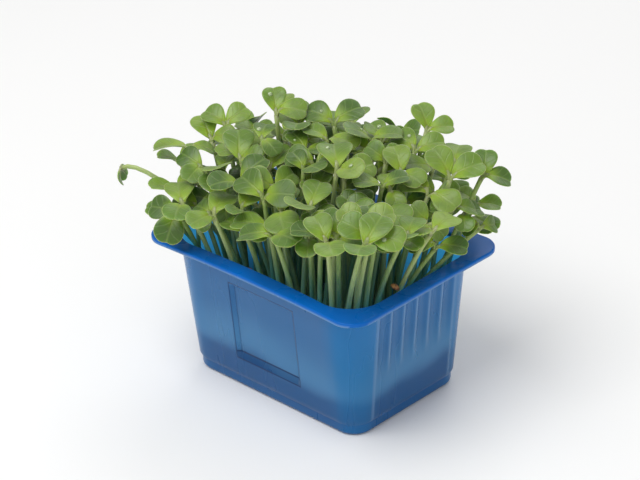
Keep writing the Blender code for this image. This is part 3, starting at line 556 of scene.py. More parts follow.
def leaf_rings(head, stem_end, leaf, guard):
    """A leaf's cross-sections from the end of its stalk to its lobes, six points each."""
    length = leaf[1]
    frame = leaf_frame(leaf)
    onward = stalk_heading(leaf, stem_end)
    start = head + onward * length * STALK_RATIO
    width = length * BLADE_WIDTH_RATIO
    half = BLADE_THICKNESS / 2.0 + guard
    across = frame[1] * (STALK_HALF_WIDTH + guard)
    up = (onward + frame[0]).cross(frame[1]).normalized() * half
    rings = [[start + across + up, start - across + up, start - across - up, start + across - up]]
    for share, middle in BLADE_STATIONS:
        forward, side = outline(share)
        forward = forward * length + guard
        side = side * width + guard
        middle *= length
        rings.append([
            leaf_point(start, frame, length, forward, side, half),
            leaf_point(start, frame, length, middle, 0.0, half),
            leaf_point(start, frame, length, forward, -side, half),
            leaf_point(start, frame, length, forward, -side, -half),
            leaf_point(start, frame, length, middle, 0.0, -half),
            leaf_point(start, frame, length, forward, side, -half),
        ])
    return rings


def stem_mesh(sprout, guard=0.0):
    """Points and side faces of a four-sided stem, with its lower end closed."""
    root, head, leaves, arch = sprout
    points = []
    faces = [(3, 2, 1, 0)]
    apart = (heading(leaves[0][0]) - heading(leaves[1][0])).normalized()
    for step in range(STEM_STEPS + 1):
        share = step / STEM_STEPS
        centre = stem_curve(root, head, arch, share)
        half = blend(STEM_HALF_BASE, STEM_HALF_TOP, share) + guard
        onward = stem_heading(root, head, arch, share)
        side = (apart - onward * apart.dot(onward)).normalized() * half
        width = onward.cross(side).normalized() * half
        points += [centre - side - width, centre + side - width]
        points += [centre + side + width, centre - side + width]
    points += [centre - width, centre + width]
    for low in range(0, STEM_STEPS * 4, 4):
        for corner in range(4):
            after = (corner + 1) % 4
            faces.append((low + corner, low + after, low + after + 4, low + corner + 4))
    return points, faces


def sprout_mesh(sprout, guard=0.0):
    """Points and faces of one sprout: a stem that forks into two leaves."""
    points, faces = stem_mesh(sprout, guard)
    top = STEM_STEPS * 4
    faces = split_top_sides(faces, top)
    seats = ((top + 5, top + 4, top + 1, top + 2), (top + 4, top + 5, top + 3, top))
    root, head, leaves, arch = sprout
    stem_end = stem_heading(root, head, arch, 1.0)
    for leaf, seat in zip(leaves, seats):
        grow_leaf(points, faces, seat, leaf_rings(head, stem_end, leaf, guard))
    return points, as_triangles(points, faces)


def split_top_sides(faces, top):
    """The two stem sides that meet the fork take its middle point on their top edge."""
    middles = {(top, top + 1): top + 4, (top + 2, top + 3): top + 5}
    result = []
    for face in faces:
        middle = middles.get((face[3], face[2]))
        if middle is None:
            result.append(face)
            continue
        low_left, low_right, high_right, high_left = face
        result.append((middle, high_left, low_left))
        result.append((middle, low_left, low_right))
        result.append((middle, low_right, high_right))
    return result


def as_triangles(points, faces):
    """Splits every four-sided face along its shorter diagonal."""
    result = []
    for face in faces:
        if len(face) == 3:
            result.append(face)
            continue
        a, b, c, d = face
        if (points[a] - points[c]).length <= (points[b] - points[d]).length:
            result += [(a, b, c), (a, c, d)]
        else:
            result += [(a, b, d), (b, c, d)]
    return result


def grow_leaf(points, faces, seat, rings):
    """Joins a leaf to its seat on the fork: upper left, upper right, lower right, lower left."""
    start = len(points)
    points += rings[0]
    stalk = tuple(range(start, start + 4))
    for corner in range(4):
        after = (corner + 1) % 4
        faces.append((seat[corner], seat[after], stalk[after], stalk[corner]))
    start = len(points)
    for ring in rings[1:]:
        points += ring
    left_top, top, right_top, right_low, low, left_low = range(start, start + 6)
    faces.append((stalk[0], stalk[1], top))
    faces.append((stalk[0], top, left_top))
    faces.append((stalk[1], right_top, top))
    faces.append((stalk[1], stalk[2], right_low, right_top))
    faces.append((stalk[2], low, right_low))
    faces.append((stalk[2], stalk[3], low))
    faces.append((stalk[3], left_low, low))
    faces.append((stalk[3], stalk[0], left_top, left_low))
    for band in range(len(rings) - 2):
        base = start + band * 6
        for corner in range(6):
            after = (corner + 1) % 6
            add_even_pair(faces, base, corner, after)
    last = start + (len(rings) - 2) * 6
    faces.append((last, last + 1, last + 4, last + 5))
    faces.append((last + 1, last + 2, last + 3, last + 4))


def add_even_pair(faces, base, corner, after):
    """Splits one side of a blade's band, alike on its upper and its lower face."""
    a, b = base + corner, base + after
    c, d = b + 6, a + 6
    if corner in (0, 3):
        faces.append((a, b, c))
        faces.append((a, c, d))
    else:
        faces.append((a, b, d))
        faces.append((b, c, d))


def leaf(turn, length, rise, lean, lean_to):
    """A leaf's directions in radians and its length in metres."""
    return (math.radians(turn), length * MM, math.radians(rise), math.radians(lean), lean_to)


def tree_of(points, faces):
    """A search tree for crossings."""
    return BVHTree.FromPolygons(points, faces)


def corners_of(points):
    """The lowest and the highest corner of the box round some points."""
    low = [min(point[axis] for point in points) for axis in range(3)]
    high = [max(point[axis] for point in points) for axis in range(3)]
    return low, high


def edge_meets(start, end, triangle):
    """Whether an edge passes through a triangle."""
    way = end - start
    hit = intersect_ray_tri(*triangle, way, start, True)
    return hit is not None and 0.0 < (hit - start).dot(way) < way.dot(way)


def crosses_itself(sprout):
    """Whether triangles of a sprout cross, other than along an edge that they share."""
    points, faces = sprout_mesh(sprout)
    tree = tree_of(points, faces)
    for one, other in tree.overlap(tree):
        shared = set(faces[one]) & set(faces[other])
        if len(shared) == 0:
            return True
        if len(shared) == 1:
            start, end = (points[corner] for corner in faces[one] if corner not in shared)
            if edge_meets(start, end, [points[corner] for corner in faces[other]]):
                return True
    return False


def entry(tuft, sprout, mesh):
    """A placed mesh with its search tree and its box."""
    points, faces = mesh
    low, high = corners_of(points)
    return {"tuft": tuft, "sprout": sprout, "tree": tree_of(points, faces), "low": low, "high": high}


def is_clear(mesh, others):
    """Whether a mesh meets none of the placed ones."""
    points, faces = mesh
    low, high = corners_of(points)
    tree = tree_of(points, faces)
    for other in others:
        apart = any(low[axis] > other["high"][axis] or high[axis] < other["low"][axis]
                    for axis in range(3))
        if not apart and tree.overlap(other["tree"]):
            return False
    return True


def sockets_of(centres, draw):
    """Three rooting points on each tuft's plug."""
    sockets = []
    for tuft, centre in enumerate(centres):
        start = draw.uniform(0.0, math.tau)
        for number in range(SPROUTS_PER_TUFT):
            around = start + math.tau * number / SPROUTS_PER_TUFT
            spot = centre + heading(around) * SOCKET_RADIUS
            sockets.append((tuft, Vector((spot.x, spot.y, ROOT_Z))))
    return sockets


def fan_y(y):
    """How much wider than the roots the heads stand along Y, at the front or the back."""
    return FAN_BACK if y > 0.0 else FAN_FRONT


def place_under(head):
    """The place on the mat that a head leans out from."""
    return Vector((head.x / FAN_X, head.y / fan_y(head.y), ROOT_Z))


def nearest_sockets(sockets, head):
    """Free sockets, from the one under the place that a head leans out from."""
    under = place_under(head)
    return sorted(sockets, key=lambda socket: (socket[1] - under).length)


def reserve_show_stems(sockets, tray):
    """Roots the stem of each well seen sprout in the nearest socket with a clear way."""
    stray_leaves = tuple(leaf(*values, STRAY_LEAN_TO) for values in STRAY_LEAVES)
    wanted = [(Vector(STRAY_HEAD) * MM, stray_leaves, STRAY_ARCH)]
    for place, first, second in SHOW_SPROUTS:
        wanted.append((Vector(place) * MM, (leaf(*first, FRONT), leaf(*second, FRONT)), 0.0))
    stems = []
    for head, leaves, arch in wanted:
        for socket in nearest_sockets(sockets, head):
            sprout = (socket[1], head, leaves, arch)
            if is_clear(stem_mesh(sprout, GUARD), stems + [tray]):
                stems.append(entry(socket[0], sprout, stem_mesh(sprout)))
                sockets.remove(socket)
                break
    return stems


def drawn_head(root, draw, late):
    """Where a drawn sprout's head is, above and outside its root."""
    spread = blend(*HEAD_SPREAD, late)
    x = root.x * FAN_X + draw.gauss(0.0, spread)
    y = root.y * fan_y(root.y) + draw.gauss(0.0, spread)
    depth = draw.uniform(0.0, blend(*HEAD_DEPTH, late))
    lowest = canopy_underside(x, y)
    top = max(canopy_height(x, y), lowest + UNDERSIDE_ROOM)
    return Vector((x, y, max(lowest, top - depth)))


def drawn_sprout(socket, draw, attempt, tries):
    """A sprout for a free socket. Later attempts sit lower, with smaller and steeper leaves."""
    late = attempt / tries
    head = drawn_head(socket[1], draw, late)
    outward = math.atan2(head.y / RIM_HALF_Y, head.x / RIM_HALF_X)
    reach = min(1.0, math.hypot(head.y / RIM_HALF_Y, head.x / RIM_HALF_X))
    tilt = heading(outward) * EDGE_LEAN * reach + heading(FRONT) * LIGHT_LEAN
    lean_to = math.atan2(tilt.y, tilt.x)
    turn = draw.uniform(-180.0, 180.0)
    leaves = []
    for number, lengths in enumerate(LEAF_LENGTHS):
        angle = turn + 180.0 * number + draw.uniform(-PAIR_SWING, PAIR_SWING)
        length = draw.uniform(*lengths) * blend(1.0, YOUNG_LEAF, late)
        droop = EDGE_DROOP * reach * math.cos(math.radians(angle) - outward)
        rise = draw.uniform(*LEAF_RISE) - droop + YOUNG_RISE * late
        lean = tilt.length + draw.uniform(-LEAN_SWING, LEAN_SWING)
        leaves.append(leaf(angle, length, rise, lean, lean_to))
    return (socket[1], head, tuple(leaves), 0.0)


def reserve_other_stems(stems, sockets, draw, tray):
    """Gives every socket that is left a stem that is clear of the others."""
    for socket in sockets:
        for attempt in range(STEM_TRIES):
            sprout = drawn_sprout(socket, draw, attempt, STEM_TRIES)
            apart = all((sprout[1] - other["sprout"][1]).length > HEAD_GAP for other in stems)
            if apart and is_clear(stem_mesh(sprout, GUARD), stems + [tray]):
                stems.append(entry(socket[0], sprout, stem_mesh(sprout)))
                break


def varied(sprout, draw, attempt):
    """The same sprout with its leaves turned, raised and shortened a little."""
    root, head, leaves, arch = sprout
    swing = math.radians(LEAF_SWING * attempt)
    shift = LEAF_SHIFT * attempt
    head = head + Vector([draw.uniform(-shift, shift) for axis in range(3)])
    turn = draw.uniform(-swing, swing)
    changed = []
    for old_turn, length, rise, lean, lean_to in leaves:
        own = turn + LEAF_FOLLOW * draw.uniform(-swing, swing)
        lift = LEAF_FOLLOW * draw.uniform(-swing, swing)
        tip = LEAF_FOLLOW * draw.uniform(-swing, swing)
        shorter = length * max(LEAF_LEAST, 1.0 - LEAF_SHRINK * attempt)
        changed.append((old_turn + own, shorter, rise + lift, lean + tip, lean_to))
    return (root, head, tuple(changed), arch)


def grow_stand(draw, centres, tray):
    """All sprouts of the tray: first their stems, then each one's leaves where they fit."""
    sockets = sockets_of(centres, draw)
    stems = reserve_show_stems(sockets, tray)
    shown = len(stems)
    reserve_other_stems(stems, sockets, draw, tray)
    placed = []
    for number, stem in enumerate(stems):
        others = placed + stems[number + 1:] + [tray]
        socket = (stem["tuft"], stem["sprout"][0])
        for attempt in range(LEAF_TRIES):
            if number < shown or attempt < NEAR_TRIES:
                sprout = varied(stem["sprout"], draw, attempt)
            else:
                sprout = drawn_sprout(socket, draw, attempt - NEAR_TRIES, LEAF_TRIES)
            if is_clear(sprout_mesh(sprout, GUARD), others) and not crosses_itself(sprout):
                placed.append(entry(stem["tuft"], sprout, sprout_mesh(sprout)))
                break
    return placed


def smooth_step(value, start, end):
    """0 up to start, 1 from end on, with soft ends."""
    share = ramp(value, start, end)
    return share * share * (3.0 - 2.0 * share)


def only_select(body):
    """Leaves one object selected and active."""
    bpy.ops.object.select_all(action="DESELECT")
    body.select_set(True)
    bpy.context.view_layer.objects.active = body


def selected_face(mesh):
    """The one face that is selected in edit mode."""
    return next(face for face in mesh.faces if face.select)


def place_ring(face, old, new):
    """Moves a face's corners from their places on an old ring to the same places on a new one."""
    where = {tuple(round(value, 7) for value in point): number for number, point in enumerate(old)}
    for vertex in face.verts:
        vertex.co = new[where[tuple(round(value, 7) for value in vertex.co)]]


def grow_rings(name, rings):
    """A closed body: a disc that is extruded from ring to ring."""
    bpy.ops.object.select_all(action="DESELECT")
    bpy.ops.mesh.primitive_circle_add(vertices=len(rings[0]), radius=1.0, fill_type="NGON")
    body = bpy.context.object
    body.name = name
    for vertex, point in zip(body.data.vertices, rings[0]):
        vertex.co = point
    bpy.ops.object.mode_set(mode="EDIT")
    bpy.ops.mesh.select_mode(type="FACE")
    bpy.ops.mesh.select_all(action="SELECT")
    old = [vertex.co.copy() for vertex in bmesh.from_edit_mesh(body.data).verts]
    for ring in rings[1:]:
        bpy.ops.mesh.extrude_region_move(TRANSFORM_OT_translate={"value": (0.0, 0.0, 0.0)})
        mesh = bmesh.from_edit_mesh(body.data)
        place_ring(selected_face(mesh), old, ring)
        bmesh.update_edit_mesh(body.data)
        old = [Vector([float("%.9g" % value) for value in point]) for point in ring]
    bpy.ops.mesh.select_all(action="SELECT")
    bpy.ops.mesh.normals_make_consistent(inside=False)
    bpy.ops.object.mode_set(mode="OBJECT")
    return body


def rib_depth(from_crest):
    """Share of the flute depth at a distance from the nearest rib's crest."""
    return smooth_step(from_crest, RIB_HALF_CREST * 0.4, RIB_HALF_CREST + RIB_SLOPE * RIB_SOFTNESS)


def panel_depth(along):
    """Share of the panel depth at a place along a long face."""
    return ramp(PANEL_HALF - abs(along), 0.0, PANEL_BEVEL)


def short_columns():
    """Places along a short face, closer near a rib's crest, with their share of the flute depth."""
    pitch = 2.0 * CORE_HALF_Y / (RIB_COUNT - 1)
    places = []
    for rib in range(RIB_COUNT):
        crest = -CORE_HALF_Y + rib * pitch
        for off in RIB_SAMPLES:
            if abs(crest + off) < CORE_HALF_Y - 0.01 * MM:
                places.append((crest + off, abs(off)))
        if rib < RIB_COUNT - 1:
            places.append((crest + pitch / 2.0, pitch / 2.0))
    return [(place / CORE_HALF_Y, rib_depth(from_crest)) for place, from_crest in sorted(places)]


def long_columns():
    """Places along a long face, closer at the panel's edges, with their share of the panel depth."""
    inner = PANEL_HALF - PANEL_BEVEL
    edges = [edge + off for edge in (inner, PANEL_HALF) for off in (-CREASE, 0.0, CREASE)]
    half = sorted([*PANEL_COLUMNS, inner + PANEL_BEVEL / 2.0, *edges])
    places = [-place for place in reversed(half)] + [0.0] + half
    return [(place / CORE_HALF_X, panel_depth(place)) for place in places]


SHORT_COLUMNS = short_columns()
LONG_COLUMNS = long_columns()


def tray_ring(z, half_x, half_y, radius, flute=0.0, panel=0.0, bow=0.0):
    """One ring of the fine tray's skin, counterclockwise seen from above."""
    core_x = half_x - radius
    core_y = half_y - radius
    ring = []

    def face(columns, core, half, pressed, bowed, place):
        for share, depth in columns:
            inward = depth * pressed + bowed * (1.0 - share * share)
            ring.append(place(half - inward, share * core))

    def corner(centre_x, centre_y, start):
        for step in range(FINE_CORNER_STEPS + 1):
            angle = math.radians(start + 90.0 * step / FINE_CORNER_STEPS)
            x = centre_x + radius * math.cos(angle)
            y = centre_y + radius * math.sin(angle)
            ring.append(Vector((x, y, z)))

    face(SHORT_COLUMNS, core_y, half_x, flute, 0.0, lambda out, t: Vector((out, t, z)))
    corner(core_x, core_y, 0.0)
    face(LONG_COLUMNS, core_x, half_y, panel, bow, lambda out, t: Vector((-t, out, z)))
    corner(-core_x, core_y, 90.0)
    face(SHORT_COLUMNS, core_y, half_x, flute, 0.0, lambda out, t: Vector((-out, -t, z)))
    corner(-core_x, -core_y, 180.0)
    face(LONG_COLUMNS, core_x, half_y, panel, bow, lambda out, t: Vector((t, -out, z)))
    corner(core_x, -core_y, 270.0)
    return ring


def wall_ring(z, inset):
    """A ring of the wall, on the outside with no inset and inside with the sheet's."""
    share = ramp(z, LEDGE_Z, WALL_TOP_Z)
    radius = blend(LEDGE_RADIUS, WALL_TOP_RADIUS, share) - inset
    rise = smooth_step(z, *FLUTE_FADE_Z[:2])
    fall = 1.0 - smooth_step(z, *FLUTE_FADE_Z[2:])
    lower = ramp(z, *PANEL_Z[:2])
    upper = 1.0 - ramp(z, *PANEL_Z[2:])
    flute = FLUTE_DEPTH * min(rise, fall)
    panel = PANEL_DEPTH * min(lower, upper)
    bow = LONG_SIDE_BOW * share
    return tray_ring(z, CORE_HALF_X + radius, CORE_HALF_Y + radius, radius, flute, panel, bow)


def neck_ring(z, radius):
    """A ring of the neck, where the wall turns into the flange: the core widened all round."""
    return tray_ring(z, CORE_HALF_X + radius, CORE_HALF_Y + radius, radius, bow=LONG_SIDE_BOW)


def rim_ring(z, inset):
    """A ring of the flange or of its lip: the rim's outline, drawn in all round."""
    return tray_ring(z, RIM_HALF_X - inset, RIM_HALF_Y - inset, RIM_RADIUS - inset, bow=LONG_SIDE_BOW)


def foot_ring(z, inset):
    """A ring of the foot below the ledge."""
    half_x = CORE_HALF_X + LEDGE_RADIUS - FOOT_INSET - inset
    half_y = CORE_HALF_Y + LEDGE_RADIUS - FOOT_INSET - inset
    return tray_ring(z, half_x, half_y, FINE_FOOT_RADIUS - inset)


def quarter(steps):
    """Cosine and sine at even steps of a quarter turn, both ends included."""
    angles = [math.pi / 2.0 * step / steps for step in range(steps + 1)]
    return [(math.cos(angle), math.sin(angle)) for angle in angles]


def wall_heights():
    """Heights of the wall's rings, closer where the panel's edges are."""
    fixed = [LEDGE_Z, WALL_TOP_Z] + [z + off for z in PANEL_Z for off in (-CREASE, 0.0, CREASE)]
    count = round((WALL_TOP_Z - LEDGE_Z) / FINE_WALL_STEP)
    even = [blend(LEDGE_Z, WALL_TOP_Z, step / count) for step in range(1, count)]
    return sorted(fixed + [z for z in even if min(abs(z - other) for other in fixed) > CREASE])


def outer_rings(heights):
    """The tray's rings up the outside: foot, ledge, wall and neck, to under the flange."""
    rings = []
    for c, s in quarter(FINE_EDGE_STEPS):
        rings.append(foot_ring(FOOT_EDGE * (1.0 - c), FOOT_EDGE * (1.0 - s)))
    rings.append(foot_ring(LEDGE_Z - LEDGE_BEND_BELOW, 0.0))
    rings.append(foot_ring(LEDGE_Z - LEDGE_FILLET, -LEDGE_FILLET))
    rings.append(foot_ring(LEDGE_Z, LEDGE_WIDTH - FOOT_INSET))
    rings += [wall_ring(z, 0.0) for z in heights[1:]]
    fillet = TRAY_HEIGHT - SHEET - WALL_TOP_Z
    for c, s in quarter(FINE_FILLET_STEPS)[1:]:
        rings.append(neck_ring(WALL_TOP_Z + fillet * s, WALL_TOP_RADIUS + fillet * (1.0 - c)))
    return rings


def flange_rings():
    """The tray's rings out under the flange, round its lip and over its rounded edge."""
    under = TRAY_HEIGHT - SHEET
    lip = TRAY_HEIGHT - LIP_DEPTH
    rings = [
        rim_ring(under, SHEET + LIP_BEND),
        rim_ring(under - LIP_CREASE, SHEET),
        rim_ring(lip + LIP_INNER_CREASE, SHEET),
        rim_ring(lip, SHEET - LIP_CREASE),
        rim_ring(lip, LIP_CREASE),
        rim_ring(lip + LIP_CREASE, 0.0),
    ]
    for c, s in quarter(FINE_EDGE_STEPS):
        rings.append(rim_ring(TRAY_HEIGHT - FINE_RIM_EDGE * (1.0 - s), FINE_RIM_EDGE * (1.0 - c)))
    return rings


def inner_rings(heights):
    """The tray's rings down the inside: neck, wall, ledge and the foot's floor."""
    rings = []
    neck = NECK_FILLET - SHEET * 0.5
    for c, s in quarter(FINE_FILLET_STEPS):
        drop = (TRAY_HEIGHT - WALL_TOP_Z) * (1.0 - c)
        inward = (neck + SHEET) * s
        rings.append(neck_ring(TRAY_HEIGHT - drop, WALL_TOP_RADIUS + neck - inward))
    rings += [wall_ring(z, SHEET) for z in reversed(heights[1:-1])]
    rings.append(foot_ring(LEDGE_Z + SHEET, LEDGE_WIDTH - FOOT_INSET + SHEET))
    rings.append(foot_ring(LEDGE_Z + SHEET - INNER_LEDGE_DROP, SHEET))
    for c, s in quarter(FINE_INNER_EDGE_STEPS):
        rings.append(foot_ring(SHEET + FOOT_EDGE * (1.0 - s), SHEET + FOOT_EDGE * (1.0 - c)))
    return rings


def fine_tray_rings():
    """All rings of the tray: up the outside, over the flange and down the inside."""
    heights = wall_heights()
    return outer_rings(heights) + flange_rings() + inner_rings(heights)


def crest_share(point):
    """How near a point of a short face is to a rib's crest: 1 on it, 0 away from it."""
    pitch = 2.0 * CORE_HALF_Y / (RIB_COUNT - 1)
    from_left = (point.y + CORE_HALF_Y) % pitch
    return 1.0 - ramp(min(from_left, pitch - from_left), 0.0, RIB_LINE)


def light_line(point):
    """Where the sheet's outside has a thin painted highlight: along its ribs and its lip."""
    at_end = abs(point.x) > RIM_HALF_X - LINE_ROOM
    at_side = abs(point.y) > RIM_HALF_Y - LONG_SIDE_BOW - LINE_ROOM
    if point.z < TRAY_HEIGHT - LIP_DEPTH + LINE_ROOM and (at_end or at_side):
        return 1.0
    if LEDGE_Z < point.z < WALL_TOP_Z and abs(point.y) < CORE_HALF_Y + LINE_ROOM:
        last = abs(point.y) > CORE_HALF_Y - LAST_RIB_WITHIN
        fade = LAST_RIB_SHARE if last else ramp(point.z, *FLUTE_FADE_Z[:2])
        return crest_share(point) * fade * (1.0 - ramp(point.z, *FLUTE_FADE_Z[2:]))
    return 0.0


def mark_tray(body, rings):
    """Writes where the sheet is inside, in a corner, or has a painted highlight."""
    at_top = [number for number, ring in enumerate(rings) if ring[0].z > TRAY_HEIGHT - 0.01 * MM]
    places = KDTree(sum(len(ring) for ring in rings))
    values = []
    for number, ring in enumerate(rings):
        inside = number > at_top[0]
        for point in ring:
            places.insert(point, len(values))
            in_corner = ramp(abs(point.x) - CORE_HALF_X, *CORNER_FADE_X)
            in_corner *= ramp(abs(point.y) - CORE_HALF_Y, *CORNER_FADE_Y)
            light = 0.0 if inside else light_line(point)
            values.append((1.0 if inside else 0.0, in_corner, light))
    places.balance()
    mesh = body.data
    order = [places.find(vertex.co)[1] for vertex in mesh.vertices]
    for column, name in enumerate(("inside", "corner", "light_line")):
        marks = mesh.attributes.new(name, "FLOAT", "POINT")
        marks.data.foreach_set("value", [values[number][column] for number in order])


def add_node(tree, kind, **values):
    """A shader node with its settings and the values of its inputs."""
    node = tree.nodes.new(kind)
    for name, value in values.items():
        if name in node.inputs:
            node.inputs[name].default_value = value
        else:
            setattr(node, name, value)
    return node


def new_material(name, colour, roughness, **sockets):
    """A material with one Principled shader. Its uniform values stand on its own sockets."""
    material = bpy.data.materials.new(name)
    material.use_nodes = True
    tree = material.node_tree
    shader = tree.nodes["Principled BSDF"]
    shader.inputs["Base Color"].default_value = (*colour, 1.0)
    shader.inputs["Roughness"].default_value = roughness
    for socket, value in sockets.items():
        shader.inputs[socket.replace("_", " ")].default_value = value
    return material, tree, shader


def mix_colours(tree, factor, first, second):
    """A colour between two, each a colour or another node's output, by a factor."""
    node = tree.nodes.new("ShaderNodeMix")
    node.data_type = "RGBA"
    for socket, value in ((node.inputs[0], factor), (node.inputs[6], first), (node.inputs[7], second)):
        if hasattr(value, "is_output"):
            tree.links.new(value, socket)
        else:
            socket.default_value = (*value[:3], 1.0)
    return node.outputs[2]


def layered(tree, base, *layers):
    """A colour with others laid over it in turn, each by its own factor."""
    for factor, colour in layers:
        base = mix_colours(tree, factor, base, colour)
    return base


def map_range(tree, value, low, high, to_low=0.0, to_high=1.0):
    """A value stretched from one range to another, clamped."""
    node = tree.nodes.new("ShaderNodeMapRange")
    node.interpolation_type = "SMOOTHSTEP"
    node.inputs[1].default_value = low
    node.inputs[2].default_value = high
    node.inputs[3].default_value = to_low
    node.inputs[4].default_value = to_high
    tree.links.new(value, node.inputs[0])
    return node.outputs[0]


def maths(tree, operation, first, second=0.0):
    """A sum, difference or the like of two values or outputs."""
    node = tree.nodes.new("ShaderNodeMath")
    node.operation = operation
    for socket, value in zip(node.inputs, (first, second)):
        if hasattr(value, "is_output"):
            tree.links.new(value, socket)
        else:
            socket.default_value = value
    return node.outputs[0]


def times(tree, first, second):
    """The product of two values or outputs."""
    return maths(tree, "MULTIPLY", first, second)


def how_far(tree, value, place):
    """How far a value is from a place."""
    return maths(tree, "ABSOLUTE", maths(tree, "SUBTRACT", value, place))


def opposite(tree, share):
    """What a share leaves of 1."""
    return maths(tree, "SUBTRACT", 1.0, share)


def noise_texture(tree, vector, scale, detail=3.0, roughness=0.55):
    """A noise value over a piece."""
    node = add_node(tree, "ShaderNodeTexNoise")
    node.inputs["Scale"].default_value = scale
    node.inputs["Detail"].default_value = detail
    node.inputs["Roughness"].default_value = roughness
    tree.links.new(vector, node.inputs["Vector"])
    return node.outputs["Fac"]


def object_coordinates(tree):
    """The piece's own coordinates, in metres."""
    return add_node(tree, "ShaderNodeTexCoord").outputs["Object"]


def stretched(tree, vector, scale):
    """Coordinates that are stretched along the axes."""
    node = tree.nodes.new("ShaderNodeMapping")
    node.inputs["Scale"].default_value = scale
    tree.links.new(vector, node.inputs["Vector"])
    return node.outputs["Vector"]


def add_bump(tree, shader, height, strength, distance):
    """Fine relief from a height value."""
    node = tree.nodes.new("ShaderNodeBump")
    node.inputs["Strength"].default_value = strength
    node.inputs["Distance"].default_value = distance
    tree.links.new(height, node.inputs["Height"])
    tree.links.new(node.outputs["Normal"], shader.inputs["Normal"])


def attribute(tree, name):
    """A value that each point of a piece carries."""
    node = tree.nodes.new("ShaderNodeAttribute")
    node.attribute_name = name
    return node.outputs["Fac"]


def uv_parts(tree, name):
    """The two parts of a piece's own UV map."""
    node = tree.nodes.new("ShaderNodeUVMap")
    node.uv_map = name
    split = tree.nodes.new("ShaderNodeSeparateXYZ")
    tree.links.new(node.outputs["UV"], split.inputs["Vector"])
    return split.outputs["X"], split.outputs["Y"]


def leaf_material(settings):
    """Seed leaf: faint veins, a pale edge, a bright yellow green base, a greyer underside, painted shade
    on the lower leaves.
    """
    material, tree, shader = new_material(
        "cress_leaf", settings.leaf_colour, 0.42, Subsurface_Weight=0.30, Subsurface_Scale=0.002,
        Specular_IOR_Level=0.5, Sheen_Weight=0.20, Sheen_Roughness=0.40)
    shader.inputs["Subsurface Radius"].default_value = (0.55, 1.0, 0.08)
    forward, across = uv_parts(tree, "grow")
    side = how_far(tree, across, 0.5)
    tone = attribute(tree, "tone")
    veins = vein_pattern(tree, forward, side)
    patchy = noise_texture(tree, object_coordinates(tree), scale=150.0, detail=4.0)
    from_base = maths(tree, "ADD", forward, times(tree, side, 0.7))
    colour = layered(
        tree, settings.leaf_colour,
        (map_range(tree, tone, 0.35, 0.95), settings.leaf_colour_young),
        # Low tones, at random and from painted shade on the lower leaves, darken the leaf.
        (map_range(tree, tone, 0.42, 0.05, to_high=0.8), settings.leaf_patch_and_shade_colour),
        (map_range(tree, patchy, 0.38, 0.68, to_high=0.40), settings.leaf_patch_and_shade_colour),
        (times(tree, veins, 0.38), settings.vein_colour),
        (map_range(tree, from_base, 0.60, -0.02, to_high=0.95), settings.base_colour),
        (times(tree, attribute(tree, "under"), 0.62), settings.under_colour),
        (times(tree, attribute(tree, "rim"), 0.9), settings.edge_colour))
    tree.links.new(colour, shader.inputs["Base Color"])
    tree.links.new(map_range(tree, patchy, 0.3, 0.7, 0.32, 0.48), shader.inputs["Roughness"])
    relief = maths(tree, "SUBTRACT", times(tree, patchy, 0.5), times(tree, veins, 0.6))
    add_bump(tree, shader, relief, strength=0.5, distance=0.0004)
    return material


def vein_pattern(tree, forward, side):
    """A midrib with side veins that run forwards to the edge."""
    midrib = map_range(tree, side, 0.030, 0.004)
    bowed = times(tree, maths(tree, "SQRT", side), 0.9)
    phase = maths(tree, "FRACT", times(tree, maths(tree, "SUBTRACT", forward, bowed), 3.6))
    lines = map_range(tree, how_far(tree, phase, 0.5), 0.11, 0.01)
    return maths(tree, "MAXIMUM", midrib, times(tree, lines, 0.5))


def stem_material(settings):
    """Stem: yellow green at the fork and paler, bluer green towards the root."""
    material, tree, shader = new_material(
        "cress_stem", settings.stem_colour, 0.36, Subsurface_Weight=0.4, Subsurface_Scale=0.003)
    shader.inputs["Subsurface Radius"].default_value = (0.7, 1.0, 0.3)
    along = uv_parts(tree, "grow")[1]
    drawn_out = stretched(tree, object_coordinates(tree), (1.0, 1.0, 0.08))
    streaks = noise_texture(tree, drawn_out, scale=900.0, detail=2.0)
    colour = layered(
        tree, settings.stem_low_colour,
        (map_range(tree, along, 0.40, 0.90), settings.stem_colour),
        (times(tree, attribute(tree, "tone"), 0.6), settings.stem_pale_colour),
        (map_range(tree, streaks, 0.45, 0.7, to_high=0.3), settings.stem_pale_colour),
        (map_range(tree, along, 0.16, 0.0), settings.root_colour))
    tree.links.new(colour, shader.inputs["Base Color"])
    add_bump(tree, shader, streaks, strength=0.2, distance=0.0002)
    return material


def fibre_material(name, colour, dark, light):
    """Matted fibre of the growing mat or of the root felt, with painted shade in its hollows."""
    material, tree, shader = new_material(name, colour, 0.92, Specular_IOR_Level=0.2)
    place = object_coordinates(tree)
    coarse = noise_texture(tree, place, scale=140.0, detail=5.0)
    drawn_out = stretched(tree, place, (1.0, 3.5, 1.0))
    fine = noise_texture(tree, drawn_out, scale=900.0, detail=4.0, roughness=0.7)
    # Painted shade: the fibre is darker in its hollows, where the relief is low.
    tint = layered(
        tree, dark,
        (map_range(tree, coarse, 0.35, 0.65), colour),
        (map_range(tree, fine, 0.5, 0.68), light))
    tree.links.new(tint, shader.inputs["Base Color"])
    add_bump(tree, shader, maths(tree, "ADD", coarse, fine), strength=0.9, distance=0.0012)
    return material


def near_line(tree, value, place, half_width):
    """1 on a thin line where a value has a given place, 0 away from it."""
    return map_range(tree, how_far(tree, value, place), half_width, half_width * 0.4)


